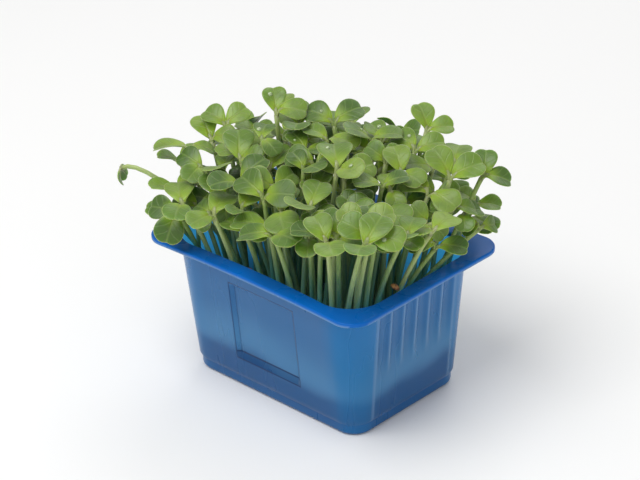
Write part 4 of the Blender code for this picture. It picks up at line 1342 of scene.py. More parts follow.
def panel_shade_lines(tree, across, height):
    """Thin lines of painted shade that frame the panel, and painted shade on its lower bevel."""
    bottom, bevel_top, top = PANEL_Z[0], PANEL_Z[1], PANEL_Z[3]
    level = map_range(tree, height, bevel_top, bevel_top - LINE_ROOM, to_high=BEVEL_SHADE)
    for place in (bottom, bevel_top, top):
        level = maths(tree, "MAXIMUM", level, near_line(tree, height, place, PANEL_LINE))
    level = times(tree, level, map_range(tree, across, PANEL_HALF + LINE_ROOM, PANEL_HALF))
    outer = near_line(tree, across, PANEL_HALF, UPRIGHT_LINE)
    inner = near_line(tree, across, PANEL_HALF - PANEL_BEVEL, UPRIGHT_LINE)
    upright = maths(tree, "MAXIMUM", outer, times(tree, inner, INNER_SHARE))
    lines = maths(tree, "MAXIMUM", level, times(tree, upright, UPRIGHT_SHARE))
    over_bottom = map_range(tree, height, bottom - PANEL_LINE, bottom)
    under_top = map_range(tree, height, top + PANEL_LINE, top)
    return times(tree, lines, times(tree, over_bottom, under_top))


def wall_pool(tree, place, height):
    """Where the wall is above the mat, and how much of the light that pools there it has."""
    cloud = noise_texture(tree, place, scale=24.0, detail=2.0)
    drift = times(tree, maths(tree, "SUBTRACT", cloud, 0.5), POOL_DRIFT)
    level = maths(tree, "ADD", height, drift)
    rise = map_range(tree, level, MAT_TOP_Z + POOL_RISE[0], MAT_TOP_Z + POOL_RISE[1])
    fall = map_range(tree, level, MAT_TOP_Z + POOL_FALL[0], MAT_TOP_Z + POOL_FALL[1])
    return rise, times(tree, rise, opposite(tree, times(tree, fall, POOL_SHARE)))


def plastic_material(settings):
    """Clear blue sheet: painted shade low in front of the mat, light pools above it, painted light inside
    and round the corners, deeper blue at the rim, painted shade and highlight lines along its folds.
    """
    material, tree, shader = new_material("tray_plastic", settings.wall_colour, 0.28, IOR=1.46)
    shader.inputs["Emission Color"].default_value = (*settings.glow_colour, 1.0)
    place = object_coordinates(tree)
    split = tree.nodes.new("ShaderNodeSeparateXYZ")
    tree.links.new(place, split.inputs["Vector"])
    height = split.outputs["Z"]
    across = maths(tree, "ABSOLUTE", split.outputs["X"])
    outward = maths(tree, "ABSOLUTE", split.outputs["Y"])
    inside = attribute(tree, "inside")
    above_mat, pool = wall_pool(tree, place, height)
    at_rim = map_range(tree, height, WALL_TOP_Z + RIM_TURN[0], WALL_TOP_Z + RIM_TURN[1])
    deeper = map_range(tree, height, 0.0, CORNER_DEEPER_TO, 0.25, 0.8)
    on_long_face = map_range(
        tree, outward, CORE_HALF_Y + LONG_FACE_FROM[0], CORE_HALF_Y + LONG_FACE_FROM[1])
    lines = times(tree, panel_shade_lines(tree, across, height), on_long_face)
    tint = layered(
        # Painted shade: the wall is darker low down, in front of the growing mat.
        tree, settings.wall_shade_low_colour,
        (above_mat, settings.wall_colour),
        (pool, settings.wall_light_colour),
        # Painted light that comes through the sheet where it turns a corner, stronger higher up.
        (times(tree, attribute(tree, "corner"), deeper), settings.corner_light_colour),
        # Painted light on the inner face, where light comes through the sheet.
        (inside, settings.inner_light_colour),
        (at_rim, settings.rim_colour),
        # Painted shade: thin dark lines round the panel and on its lower bevel.
        (times(tree, lines, opposite(tree, inside)), settings.crease_shade_colour),
        # Painted highlights: thin pale lines along the ribs and the lip.
        (times(tree, attribute(tree, "light_line"), 0.6), settings.crease_highlight_colour))
    tree.links.new(tint, shader.inputs["Base Color"])
    glow = times(tree, inside, map_range(tree, height, MAT_TOP_Z, WALL_TOP_Z, to_high=GLOW))
    tree.links.new(times(tree, glow, opposite(tree, at_rim)), shader.inputs["Emission Strength"])
    tree.links.new(map_range(tree, at_rim, 0.0, 1.0, 0.36, 0.20), shader.inputs["Specular IOR Level"])
    above_foot = map_range(tree, height, LEDGE_Z - 0.5 * MM, LEDGE_Z + 1.0 * MM, to_low=0.2)
    clear = times(tree, map_range(tree, at_rim, 0.0, 1.0, CLEARNESS, RIM_CLEARNESS), above_foot)
    tree.links.new(clear, shader.inputs["Transmission Weight"])
    flow = noise_texture(tree, stretched(tree, place, (1.0, 1.0, 0.15)), scale=90.0, detail=2.0)
    tree.links.new(map_range(tree, flow, 0.3, 0.7, 0.24, 0.34), shader.inputs["Roughness"])
    add_bump(tree, shader, flow, strength=0.03, distance=0.0004)
    return material


def hull_material(settings):
    """Brown seed hull, mottled and dull."""
    material, tree, shader = new_material("hull_brown", settings.hull_dark_colour, 0.6)
    speckle = noise_texture(tree, object_coordinates(tree), scale=1400.0, detail=4.0)
    mottling = map_range(tree, speckle, 0.35, 0.65)
    colour = mix_colours(tree, mottling, settings.hull_dark_colour, settings.hull_light_colour)
    tree.links.new(colour, shader.inputs["Base Color"])
    add_bump(tree, shader, speckle, strength=0.6, distance=0.0003)
    return material


def water_material(settings):
    """Water of the droplets: bright, with the green of the leaf seen through it painted into its colour.
    """
    # The droplets' colour is the leaf's green seen through them, painted in.
    material, tree, shader = new_material(
        "water", settings.leaf_through_drop_colour, 0.03, Transmission_Weight=0.45, IOR=1.333,
        Specular_IOR_Level=0.9, Coat_Weight=1.0, Coat_Roughness=0.02)
    speck = noise_texture(tree, object_coordinates(tree), scale=700.0, detail=1.0)
    add_bump(tree, shader, speck, strength=0.05, distance=0.0001)
    return material


def floor_material(settings):
    """Pale matt floor, with the faintest cloud."""
    material, tree, shader = new_material(
        "pale_floor", settings.floor_colour, 0.8, Specular_IOR_Level=0.2)
    cloud = noise_texture(tree, object_coordinates(tree), scale=3.0, detail=2.0)
    clouded = tuple(value * FLOOR_CLOUD for value in settings.floor_colour)
    tree.links.new(mix_colours(tree, cloud, clouded, settings.floor_colour), shader.inputs["Base Color"])
    return material


def add_master(name):
    """A mesh with the UV map and the point values that every part of a sprout carries."""
    body = bpy.context.object
    body.name = name
    mesh = body.data
    while mesh.uv_layers:
        mesh.uv_layers.remove(mesh.uv_layers[0])
    mesh.uv_layers.new(name="grow")
    for kind in ("tone", "under", "rim"):
        mesh.attributes.new(kind, "FLOAT", "POINT")
    return mesh


def set_grow_map(mesh, places):
    """Writes the UV map from a pair of values for each point."""
    layer = mesh.uv_layers["grow"].data
    for loop in mesh.loops:
        layer[loop.index].uv = places[loop.vertex_index]


def outline_place(ring, angle):
    """A leaf's place in its own plane for a ring share and an angle from the tip."""
    share = 1.0 - abs(angle) / math.pi
    forward, side = outline(share)
    if share < 0.5:
        forward -= BASE_REACH * max(0.0, 1.0 - side / BASE_HALF_WIDTH) ** 1.5
    side = math.copysign(side, angle)
    return LEAF_CENTRE + (forward - LEAF_CENTRE) * ring, side * ring


def leaf_master():
    """A flat closed leaf: a ball pressed to a leaf's outline, its equator the leaf's edge."""
    bpy.ops.object.select_all(action="DESELECT")
    bpy.ops.mesh.primitive_uv_sphere_add(segments=LEAF_SEGMENTS, ring_count=LEAF_RINGS, radius=1.0)
    mesh = add_master("leaf_master")
    places = []
    for vertex in mesh.vertices:
        x, y, z = vertex.co
        ring = math.hypot(x, y)
        angle = math.atan2(y, x) if ring > 1e-4 else 0.0
        forward, side = outline_place(ring, angle)
        lift = math.copysign(abs(z) ** EDGE_ROUNDNESS, z) if abs(z) > 1e-5 else 0.0
        vertex.co = (forward, side, lift)
        mesh.attributes["under"].data[vertex.index].value = 1.0 if z < -1e-4 else 0.0
        mesh.attributes["rim"].data[vertex.index].value = 1.0 if ring > 0.99 else 0.0
        places.append((forward, 0.5 + side / BLADE_WIDTH_RATIO * 0.5))
    set_grow_map(mesh, places)
    return mesh


def tube_master(name, rows, map_from=0.0):
    """A straight closed tube from z 0 to 1, extruded row by row from a disc."""
    bpy.ops.object.select_all(action="DESELECT")
    bpy.ops.mesh.primitive_circle_add(vertices=STEM_SIDES, radius=1.0, fill_type="NGON")
    bpy.ops.object.mode_set(mode="EDIT")
    bpy.ops.mesh.select_mode(type="FACE")
    bpy.ops.mesh.select_all(action="SELECT")
    for row in range(rows):
        bpy.ops.mesh.extrude_region_move(TRANSFORM_OT_translate={"value": (0.0, 0.0, 1.0 / rows)})
    bpy.ops.mesh.select_all(action="SELECT")
    bpy.ops.mesh.normals_make_consistent(inside=False)
    bpy.ops.object.mode_set(mode="OBJECT")
    mesh = add_master(name)
    places = []
    for vertex in mesh.vertices:
        around = math.atan2(vertex.co.y, vertex.co.x) / math.tau + 0.5
        places.append((around, blend(map_from, 1.0, vertex.co.z)))
    set_grow_map(mesh, places)
    return mesh


def copy_of(mesh, name, place, material, tone):
    """A copy of a master mesh with its points moved by a rule, in an object of its own."""
    own = mesh.copy()
    for vertex in own.vertices:
        vertex.co = place(vertex.co)
    own.attributes["tone"].data.foreach_set("value", [tone] * len(own.vertices))
    own.materials.clear()
    own.materials.append(material)
    own.polygons.foreach_set("use_smooth", [True] * len(own.polygons))
    body = bpy.data.objects.new(name, own)
    bpy.context.scene.collection.objects.link(body)
    return body


def join_parts(name, parts):
    """Joins parts into one piece."""
    bpy.ops.object.select_all(action="DESELECT")
    for part in parts:
        part.select_set(True)
    bpy.context.view_layer.objects.active = parts[0]
    bpy.ops.object.join()
    parts[0].name = name
    parts[0].data.name = name
    return parts[0]


def fine_leaf_point(blade, forward, side, lift):
    """As a packed leaf's point, with a soft fold, a waved edge and a base that runs down the stalk."""
    start, onward, axes, length, wave = blade
    ripple_height, ripple_start, ripple_turns, cup, curl = wave
    bend = length / (BLADE_CURL * curl)
    start = start + onward * min(0.0, forward)
    forward = max(0.0, forward)
    along = bend * math.sin(forward / bend)
    drop = bend * (1.0 - math.cos(forward / bend))
    across = side * math.cos(BLADE_FOLD)
    folded = math.hypot(side, FOLD_SOFT) - FOLD_SOFT
    phase = ripple_start + ripple_turns * forward / length + math.copysign(1.0, side)
    ripple = ripple_height * folded * math.sin(phase)
    pillow = cup * (folded * math.sin(BLADE_FOLD) * FOLD_RISE - folded * folded * LOBE_DOME)
    up = pillow - drop + lift + ripple
    return start + axes[0] * along + axes[1] * across + axes[2] * up


def fine_blade(head, stem_end, leaf_values, wave):
    """What places a fine leaf: its start, its stalk's direction, its axes, length and wave."""
    length = leaf_values[1]
    onward = stalk_heading(leaf_values, stem_end)
    return head + onward * length * STALK_RATIO, onward, leaf_frame(leaf_values), length, wave


def stem_part(master, sprout, material, tone):
    """A fine stem."""
    root, head, leaves, arch = sprout
    apart = (heading(leaves[0][0]) - heading(leaves[1][0])).normalized()
    rows = []
    for row in range(STEM_ROWS + 1):
        share = row / STEM_ROWS
        onward = stem_heading(root, head, arch, share)
        side = (apart - onward * apart.dot(onward)).normalized()
        half = blend(STEM_HALF_BASE * STEM_FILL[0], STEM_HALF_TOP * STEM_FILL[1], share)
        half *= 1.0 + FORK_SWELL * smooth_step(share, FORK_FROM, 1.0)
        rows.append((stem_curve(root, head, arch, share), side * half, onward.cross(side) * half))

    def place(point):
        centre, side, width = rows[min(STEM_ROWS, round(point.z * STEM_ROWS))]
        return centre + side * point.x + width * point.y

    return copy_of(master, "stem", place, material, tone)


def stalk_path(head, stem_end, blade):
    """Centres, half widths and half heights of a leaf's stalk and of its midrib below the blade."""
    onward, length = blade[1], blade[3]
    middle = head + onward * length * STALK_RATIO * STALK_MIDDLE_AT
    knots = [(head - stem_end * BURIED, *STALK_FORK), (middle, *STALK_MIDDLE)]
    for forward, wide, high in MIDRIB_KNOTS:
        knots.append((fine_leaf_point(blade, forward * length, 0.0, -MIDRIB_SUNK), wide, high))
    return knots


def between_knots(knots, share):
    """A smooth place between a path's knots."""
    last = len(knots) - 1
    number = min(last - 1, int(share * last))
    rest = share * last - number
    before, start, end, after = (
        knots[max(0, min(last, number + step))] for step in (-1, 0, 1, 2))
    centre = 0.5 * (2.0 * start[0] + (end[0] - before[0]) * rest
                    + (2.0 * before[0] - 5.0 * start[0] + 4.0 * end[0] - after[0]) * rest ** 2
                    + (3.0 * start[0] - before[0] - 3.0 * end[0] + after[0]) * rest ** 3)
    return centre, blend(start[1], end[1], rest), blend(start[2], end[2], rest)


def stalk_part(master, head, stem_end, blade, material, tone):
    """A leaf's stalk, which runs on as the midrib."""
    knots = stalk_path(head, stem_end, blade)
    leftward = blade[2][1]
    rows = [between_knots(knots, row / STALK_ROWS) for row in range(STALK_ROWS + 1)]
    axes = []
    for row in range(STALK_ROWS + 1):
        onward = (rows[min(STALK_ROWS, row + 1)][0] - rows[max(0, row - 1)][0]).normalized()
        side = (leftward - onward * leftward.dot(onward)).normalized()
        axes.append((side, side.cross(onward)))

    def place(point):
        row = min(STALK_ROWS, round(point.z * STALK_ROWS))
        centre, wide, high = rows[row]
        side, up = axes[row]
        return centre + side * (wide * MM * point.x) - up * (high * MM * point.y)

    return copy_of(master, "stalk", place, material, tone)


def leaf_part(master, blade, material, tone):
    """A fine seed leaf."""
    length = blade[3]
    width = length * BLADE_WIDTH_RATIO

    def place(point):
        return fine_leaf_point(blade, point.x * length, point.y * width, point.z * FINE_BLADE_HALF)

    return copy_of(master, "leaf", place, material, tone)


def sprout_parts(sprout, masters, materials, draw):
    """All parts of one fine sprout."""
    root, head, leaves, arch = sprout
    stem_end = stem_heading(root, head, arch, 1.0)
    tone = draw.random()
    # Painted shade: the further a head stands below the canopy's top, the darker its leaves.
    shade = DEPTH_SHADE * ramp(canopy_height(head.x, head.y) - head.z, 0.0, FILL_DEPTH[1])
    parts = [stem_part(masters["stem"], sprout, materials["stem"], tone)]
    for leaf_values in leaves:
        wave = (draw.uniform(*WAVE_HEIGHT), draw.uniform(0.0, math.tau), draw.uniform(*WAVE_TURNS),
                draw.uniform(*CUP_RANGE), draw.uniform(*CURL_RANGE))
        blade = fine_blade(head, stem_end, leaf_values, wave)
        STATE["blades"].append((head.z, blade))
        leaf_tone = min(1.0, max(0.0, blend(tone, draw.random(), OWN_TONE) - shade))
        parts.append(leaf_part(masters["leaf"], blade, materials["leaf"], leaf_tone))
        parts.append(stalk_part(masters["stalk"], head, stem_end, blade, materials["stem"], tone))
    return parts


def make_masters():
    """The parts that every sprout is copied from."""
    return {
        "leaf": leaf_master(),
        "stem": tube_master("stem_master", STEM_ROWS),
        "stalk": tube_master("stalk_master", STALK_ROWS, STALK_MAP_FROM),
        "plug": tube_master("plug_master", STALK_ROWS),
    }


def clear_masters():
    """Removes the masters' own objects."""
    for body in list(bpy.data.objects):
        if body.name.endswith("_master"):
            bpy.data.objects.remove(body, do_unlink=True)


def plug_part(master, centre, material, draw):
    """A root plug that stands in its hole: knobbly, narrower at the tip."""
    seed = draw.uniform(0.0, 50.0)

    def place(point):
        z = blend(PLUG_BOTTOM_Z, PLUG_TOP_Z, point.z)
        radius = plug_radius(z) * PLUG_FILL
        if z > MAT_TOP_Z:
            radius *= blend(1.0, PLUG_CROWN, ramp(z, MAT_TOP_Z, PLUG_TOP_Z))
        knob = noise.noise(Vector((*(point.xy * KNOBS_AROUND), z * KNOBS_ALONG + seed)))
        radius *= 1.0 + PLUG_KNOBS * knob
        return Vector((centre.x + point.x * radius, centre.y + point.y * radius, z))

    return copy_of(master, "plug", place, material, PLUG_TONE)


def fill_roots(stand, draw):
    """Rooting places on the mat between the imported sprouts."""
    roots = []
    for row in range(FILL_ROWS):
        for column in range(FILL_COLUMNS):
            x = grid_place(column, FILL_COLUMNS, FILL_PITCH_X) + draw.uniform(-FILL_JITTER, FILL_JITTER)
            y = grid_place(row, FILL_ROWS, FILL_PITCH_Y) + draw.uniform(-FILL_JITTER, FILL_JITTER)
            root = Vector((x, y, ROOT_Z))
            if all((root - item["sprout"][0]).length > FILL_ROOT_GAP for item in stand):
                roots.append(root)
    draw.shuffle(roots)
    return roots


def fill_sprout(root, draw, late):
    """A lower sprout with broad leaves. Later attempts have smaller and steeper leaves."""
    spread = blend(*HEAD_SPREAD, late)
    x = root.x * FAN_X + draw.gauss(0.0, spread)
    y = root.y * fan_y(root.y) + draw.gauss(0.0, spread)
    depth = draw.uniform(*FILL_DEPTH)
    toward = Vector((x, y, 0.0)).dot(heading(FRONT))
    below = FILL_BELOW * (1.0 - ramp(toward, *FILL_BELOW_FADE))
    head = Vector((x, y, max(canopy_underside(x, y) - below, canopy_height(x, y) - depth)))
    turn = draw.uniform(-180.0, 180.0)
    leaves = []
    for number, lengths in enumerate(FILL_LEAF_LENGTHS):
        angle = turn + 180.0 * number + draw.uniform(-PAIR_SWING, PAIR_SWING)
        length = draw.uniform(*lengths) * blend(1.0, FILL_YOUNG_LEAF, late)
        rise = draw.uniform(*FILL_LEAF_RISE) + YOUNG_RISE * late
        leaves.append(leaf(angle, length, rise, draw.uniform(0.0, LIGHT_LEAN + LEAN_SWING), FRONT))
    return (root, head, tuple(leaves), 0.0)


def has_room(sprout, placed, tray):
    """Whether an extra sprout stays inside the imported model's box, clear of the others and of itself."""
    mesh = sprout_mesh(sprout, FILL_GUARD)
    for axis in range(3):
        values = [point[axis] for point in mesh[0]]
        if min(values) < cad_low[axis] - BOX_ROOM or max(values) > cad_high[axis] + BOX_ROOM:
            return False
    return is_clear(mesh, placed + [tray]) and not crosses_itself(sprout)


def first_fit(choices, placed, tray):
    """Places the first sprout of a row of choices that has room, and hands it back."""
    for sprout in choices:
        if has_room(sprout, placed, tray):
            placed.append(entry(None, sprout, sprout_mesh(sprout)))
            return sprout
    return None


def grow_fill(stand, tray):
    """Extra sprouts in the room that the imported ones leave. Those that find none are left out."""
    draw = random.Random(FILL_SEED)
    placed = list(stand)
    extra = []
    roots = fill_roots(stand, draw)
    for place, *leaves in GAP_SPROUTS:
        head = Vector(place) * MM
        under = place_under(head)
        root = min(roots, key=lambda spot: (spot - under).length)
        wanted = (root, head, tuple(leaf(*values, FRONT) for values in leaves), 0.0)
        choices = (varied(wanted, draw, attempt) for attempt in range(LEAF_TRIES))
        sprout = first_fit(choices, placed, tray)
        if sprout:
            extra.append(sprout)
            roots.remove(root)
    for root in roots:
        choices = (fill_sprout(root, draw, attempt / FILL_TRIES) for attempt in range(FILL_TRIES))
        sprout = first_fit(choices, placed, tray)
        if sprout:
            extra.append(sprout)
    return extra


def tray_entry():
    """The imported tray, as what no sprout may cross."""
    mesh = bpy.data.objects["tray"].data
    points = [vertex.co.copy() for vertex in mesh.vertices]
    faces = [tuple(polygon.vertices) for polygon in mesh.polygons]
    return entry(None, None, (points, faces))


def smooth_skin(body, angle=SMOOTH_TO):
    """Rounds a piece's shading up to an angle in degrees."""
    only_select(body)
    bpy.ops.object.shade_smooth_by_angle(angle=math.radians(angle))


def in_felt_corner(flat):
    """Draws a point of the felt's square corners in to a round one."""
    core_x = min(FELT_HALF_X - FELT_RADIUS, abs(flat.x))
    core_y = min(FELT_HALF_Y - FELT_RADIUS, abs(flat.y))
    away = Vector((abs(flat.x) - core_x, abs(flat.y) - core_y, 0.0))
    if away.length > 0.0:
        away *= max(away.x, away.y) / away.length
    return Vector((math.copysign(core_x + away.x, flat.x), math.copysign(core_y + away.y, flat.y), 0.0))


def build_felt(material):
    """Pale root felt that lies on the mat."""
    bpy.ops.object.select_all(action="DESELECT")
    bpy.ops.mesh.primitive_grid_add(x_subdivisions=FELT_CELLS[0], y_subdivisions=FELT_CELLS[1], size=2.0)
    felt = bpy.context.object
    felt.name = "root_felt"
    bpy.ops.object.mode_set(mode="EDIT")
    bpy.ops.mesh.select_all(action="SELECT")
    bpy.ops.mesh.extrude_region_move(TRANSFORM_OT_translate={"value": (0.0, 0.0, 1.0)})
    bpy.ops.mesh.select_all(action="SELECT")
    bpy.ops.mesh.normals_make_consistent(inside=False)
    bpy.ops.object.mode_set(mode="OBJECT")
    for vertex in felt.data.vertices:
        is_top = vertex.co.z > 0.5
        flat = in_felt_corner(Vector((vertex.co.x * FELT_HALF_X, vertex.co.y * FELT_HALF_Y, 0.0)))
        height = FELT_MEAN + FELT_BUMPS * noise.fractal(flat / FELT_BUMP_SIZE, 1.0, 2.0, 3)
        flat.z = MAT_TOP_Z + FELT_LIFT + (max(FELT_LEAST, height) if is_top else 0.0)
        vertex.co = flat
    felt.data.materials.append(material)
    smooth_skin(felt)
    return felt


def build_hull(name, centre, turn, tilt, material):
    """A split seed hull: an egg with a seam pressed in. Turn and tilt are in degrees."""
    bpy.ops.object.select_all(action="DESELECT")
    bpy.ops.mesh.primitive_ico_sphere_add(subdivisions=4, radius=1.0)
    hull = bpy.context.object
    hull.name = name
    rotation = Matrix.Rotation(math.radians(turn), 3, "Z") @ Matrix.Rotation(math.radians(tilt), 3, "Y")
    for vertex in hull.data.vertices:
        x, y, z = vertex.co
        seam = math.exp(-(y / HULL_SEAM_WIDTH) ** 2) * max(0.0, z)
        dent = 1.0 - HULL_SEAM_DEPTH * seam + HULL_UNEVEN * noise.noise(vertex.co * HULL_LUMPS)
        shaped = Vector((x * HULL_HALF_LENGTH, y * HULL_HALF_WIDTH * (1.0 - HULL_TAPER * x),
                         max(z, -HULL_FLAT) * HULL_HALF_HEIGHT))
        vertex.co = centre + rotation @ (shaped * dent)
    hull.data.materials.append(material)
    smooth_skin(hull)
    return hull


def build_drop(name, centre, normal, radius, material):
    """A water droplet that sits on a leaf."""
    bpy.ops.object.select_all(action="DESELECT")
    bpy.ops.mesh.primitive_uv_sphere_add(segments=20, ring_count=12, radius=radius)
    drop = bpy.context.object
    drop.name = name
    turned = normal.to_track_quat("Z", "Y")
    for vertex in drop.data.vertices:
        x, y, z = vertex.co
        vertex.co = centre + turned @ Vector((x, y, z * (DROP_HEIGHT if z > 0.0 else DROP_SUNK)))
    drop.data.materials.append(material)
    smooth_skin(drop)
    return drop


def ready(piece, slot, *nodes):
    """Fastens a piece to the tray's body and hides the imported nodes that it stands for."""
    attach(piece, "root")
    if nodes:
        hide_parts(*nodes)


def carried_material(node, material):
    """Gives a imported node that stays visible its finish."""
    body = bpy.data.objects[node]
    body.data.materials.clear()
    body.data.materials.append(material)


def camera_axes(settings):
    """The camera's right, up and backward directions, before it leans."""
    turn = math.radians(settings.camera_turn)
    rise = math.radians(settings.camera_rise)
    right = heading(turn)
    back = heading(turn - math.pi / 2.0, rise)
    return right, back.cross(right), back


def add_camera(settings):
    """The camera at the photograph's viewing angle."""
    right, up, back = camera_axes(settings)
    target = Vector((0.0, 0.0, CAMERA_AIM_Z)) + right * CAMERA_AIM_RIGHT + up * CAMERA_AIM_UP
    data = bpy.data.cameras.new("view")
    data.lens = settings.camera_lens
    data.sensor_width = SENSOR_WIDTH
    data.clip_start = CLIP_START
    camera = bpy.data.objects.new("view", data)
    bpy.context.scene.collection.objects.link(camera)
    roll = math.radians(settings.camera_roll)
    leaning_right = right * math.cos(roll) + up * math.sin(roll)
    leaning_up = up * math.cos(roll) - right * math.sin(roll)
    turned = Matrix((leaning_right, leaning_up, back)).transposed().to_4x4()
    camera.matrix_world = Matrix.Translation(target + back * settings.camera_distance) @ turned
    bpy.context.scene.camera = camera


def add_light(name, place, aim, size, power):
    """A soft square white light that looks at a place."""
    data = bpy.data.lights.new(name, "AREA")
    data.shape = "SQUARE"
    data.size = size
    data.energy = power
    light = bpy.data.objects.new(name, data)
    bpy.context.scene.collection.objects.link(light)
    turned = (place - aim).to_track_quat("Z", "Y").to_matrix().to_4x4()
    light.matrix_world = Matrix.Translation(place) @ turned


def add_lights(settings):
    """The lights, each placed by the camera's own right and back, along the level."""
    right, up, back = camera_axes(settings)
    level_back = Vector((back.x, back.y, 0.0)).normalized()
    aim = Vector(LIGHT_AIM)
    for name, (across, behind, above), size, power in LIGHTS:
        place = aim + Vector((0.0, 0.0, above)) + right * across + level_back * behind
        add_light(name, place, aim, size, getattr(settings, power))


def add_floor(material):
    """The pale floor, far wider than the view."""
    bpy.ops.object.select_all(action="DESELECT")
    bpy.ops.mesh.primitive_grid_add(
        x_subdivisions=FLOOR_CELLS, y_subdivisions=FLOOR_CELLS, size=FLOOR_SIZE)
    floor = bpy.context.object
    floor.name = "pale_floor"
    for vertex in floor.data.vertices:
        vertex.co.z -= FLOOR_DROP
    floor.data.materials.append(material)


def add_world(colours, stage):
    """Even white surroundings."""
    world = bpy.data.worlds.new("studio")
    bpy.context.scene.world = world
    world.use_nodes = True
    background = world.node_tree.nodes["Background"]
    background.inputs["Color"].default_value = (*colours.world_colour, 1.0)
    background.inputs["Strength"].default_value = stage.world_strength


def swatch(name, description, default):
    """A colour that a user can change."""
    return FloatVectorProperty(name=name, description=description, subtype="COLOR", size=3,
                               min=0.0, max=1.0, default=default)


class CressColours(PropertyGroup):
    """Colours of leaves, stems, fibre and plastic."""

    leaf_colour: swatch("Leaf", "Usual green of a seed leaf", (0.128, 0.225, 0.024))
    leaf_colour_young: swatch("Young leaf", "Yellower green of a young leaf", (0.240, 0.345, 0.050))
    # Darker patches at random, and painted shade on the lower leaves.
    leaf_patch_and_shade_colour: swatch("Deep leaf", "Darker patches on a leaf", (0.050, 0.110, 0.012))
    vein_colour: swatch("Vein", "Pale veins", (0.240, 0.350, 0.080))
    base_colour: swatch("Leaf base", "Yellow green at the blade's base", (0.270, 0.410, 0.018))
    under_colour: swatch("Underside", "Greyer underside of a leaf", (0.170, 0.245, 0.090))
    edge_colour: swatch("Leaf edge", "Thin pale edge of a leaf", (0.460, 0.560, 0.200))
    stem_colour: swatch("Stem top", "Yellow green below the leaves", (0.250, 0.360, 0.085))
    stem_low_colour: swatch("Stem foot", "Bluer green near the rim", (0.075, 0.195, 0.130))
    stem_pale_colour: swatch("Pale stem", "Palest stems", (0.480, 0.540, 0.230))
    root_colour: swatch("Root", "Pale root end of a stem", (0.500, 0.500, 0.380))
    mat_colour: swatch("Mat", "Brown fibre of the growing mat", (0.210, 0.150, 0.090))
    # Painted shade in the hollows of the mat's fibre.
    mat_hollow_shade_colour: swatch("Mat, dark", "Hollows in the mat's fibre", (0.050, 0.030, 0.020))
    mat_light_colour: swatch("Mat, light", "Single pale fibres of the mat", (0.420, 0.330, 0.200))
    felt_colour: swatch("Felt", "Pale root felt", (0.420, 0.400, 0.300))
    # Painted shade in the hollows of the felt.
    felt_hollow_shade_colour: swatch("Felt, dark", "Hollows in the felt", (0.120, 0.110, 0.070))
    felt_light_colour: swatch("Felt, light", "Single white roots of the felt", (0.720, 0.700, 0.580))
    hull_dark_colour: swatch("Hull, dark", "Dark mottling of a seed hull", (0.100, 0.040, 0.020))
    hull_light_colour: swatch("Hull, light", "Light mottling of a seed hull", (0.420, 0.200, 0.070))
    # Painted green of the leaf seen through the droplets.
    leaf_through_drop_colour: swatch("Water", "Droplets, with the leaf's green in them", (0.620, 0.760, 0.420))
    wall_colour: swatch("Tray wall", "Clear blue plastic", (0.022, 0.152, 0.375))
    wall_light_colour: swatch("Tray wall, lit", "Where light pools above the mat", (0.060, 0.245, 0.500))
    # Painted shade low on the wall, in front of the growing mat.
    wall_shade_low_colour: swatch("Tray wall, low", "In front of the growing mat", (0.004, 0.100, 0.300))
    # Painted light that comes through the sheet at its corners.
    corner_light_colour: swatch("Tray corner", "Where the sheet turns a corner", (0.006, 0.200, 0.490))
    # Painted light on the inner face of the wall.
    inner_light_colour: swatch("Tray inside", "Bright inner face of the wall", (0.060, 0.450, 0.820))
    glow_colour: swatch("Inner glow", "Light that comes through the sheet", (0.045, 0.330, 0.620))
    rim_colour: swatch("Tray rim", "Deeper blue at the rim", (0.000, 0.135, 0.540))
    # Painted shade along the panel's creases and lower bevel.
    crease_shade_colour: swatch("Dark fold", "Line along the panel's level edges", (0.000, 0.032, 0.130))
    # Painted highlight along the ribs and the lip.
    crease_highlight_colour: swatch("Pale fold", "Line along the ribs and the lip", (0.260, 0.430, 0.640))
    floor_colour: swatch("Floor", "Pale floor", (0.950, 0.950, 0.945))
    world_colour: swatch("Surroundings", "Light from all around", (1.0, 1.0, 1.0))


class CressStage(PropertyGroup):
    """Camera and light."""

    camera_turn: FloatProperty(
        name="Camera turn", description="Compass angle of the view, in degrees", default=44.5)
    camera_rise: FloatProperty(
        name="Camera rise", description="Height angle of the view, in degrees", default=28.6)
    camera_roll: FloatProperty(
        name="Camera roll", description="How far the view leans, in degrees", default=-1.95)
    camera_distance: FloatProperty(
        name="Camera distance", description="From the camera to what it aims at",
        default=0.875, unit="LENGTH")
    camera_lens: FloatProperty(
        name="Lens", description="Focal length on a 36 mm sensor, in mm", default=146.7)
    world_strength: FloatProperty(
        name="Surroundings", description="Strength of the even light", default=0.46)
    key_power: FloatProperty(
        name="Key light", description="Power of the large light overhead", default=6.5, unit="POWER")
    fill_power: FloatProperty(
        name="Fill light", description="Power of the light from the front", default=1.2, unit="POWER")
    back_power: FloatProperty(
        name="Back light", description="Power of the light from behind", default=2.0, unit="POWER")


# The fine leaves, each with its head's height, which the sprouts' step leaves for the droplets'.
STATE = {"blades": []}


def colours_of(context):
    """The colours that the scene holds."""
    return context.scene.cress_colours


class CRESS_OT_tray(Operator):
    """Model the thermoformed tray and give it clear blue plastic"""

    bl_idname = "cress.tray"
    bl_label = "Tray"

    def execute(self, context):
        rings = fine_tray_rings()
        tray = grow_rings("tray_skin", rings)
        mark_tray(tray, rings)
        tray.data.materials.append(plastic_material(colours_of(context)))
        smooth_skin(tray, TRAY_SMOOTH_TO)
        ready(tray, "blue_plastic", "tray")
        return {"FINISHED"}


class CRESS_OT_mat(Operator):
    """Finish the growing mat and lay root felt on it"""

    bl_idname = "cress.mat"
    bl_label = "Growing mat and root felt"

    def execute(self, context):
        colours = colours_of(context)
        mat = fibre_material(
            "mat_fibre", colours.mat_colour, colours.mat_hollow_shade_colour, colours.mat_light_colour)
        carried_material("growing_mat", mat)
        felt = fibre_material(
            "root_felt", colours.felt_colour, colours.felt_hollow_shade_colour, colours.felt_light_colour)
        ready(build_felt(felt), "growing_fibre")
        return {"FINISHED"}


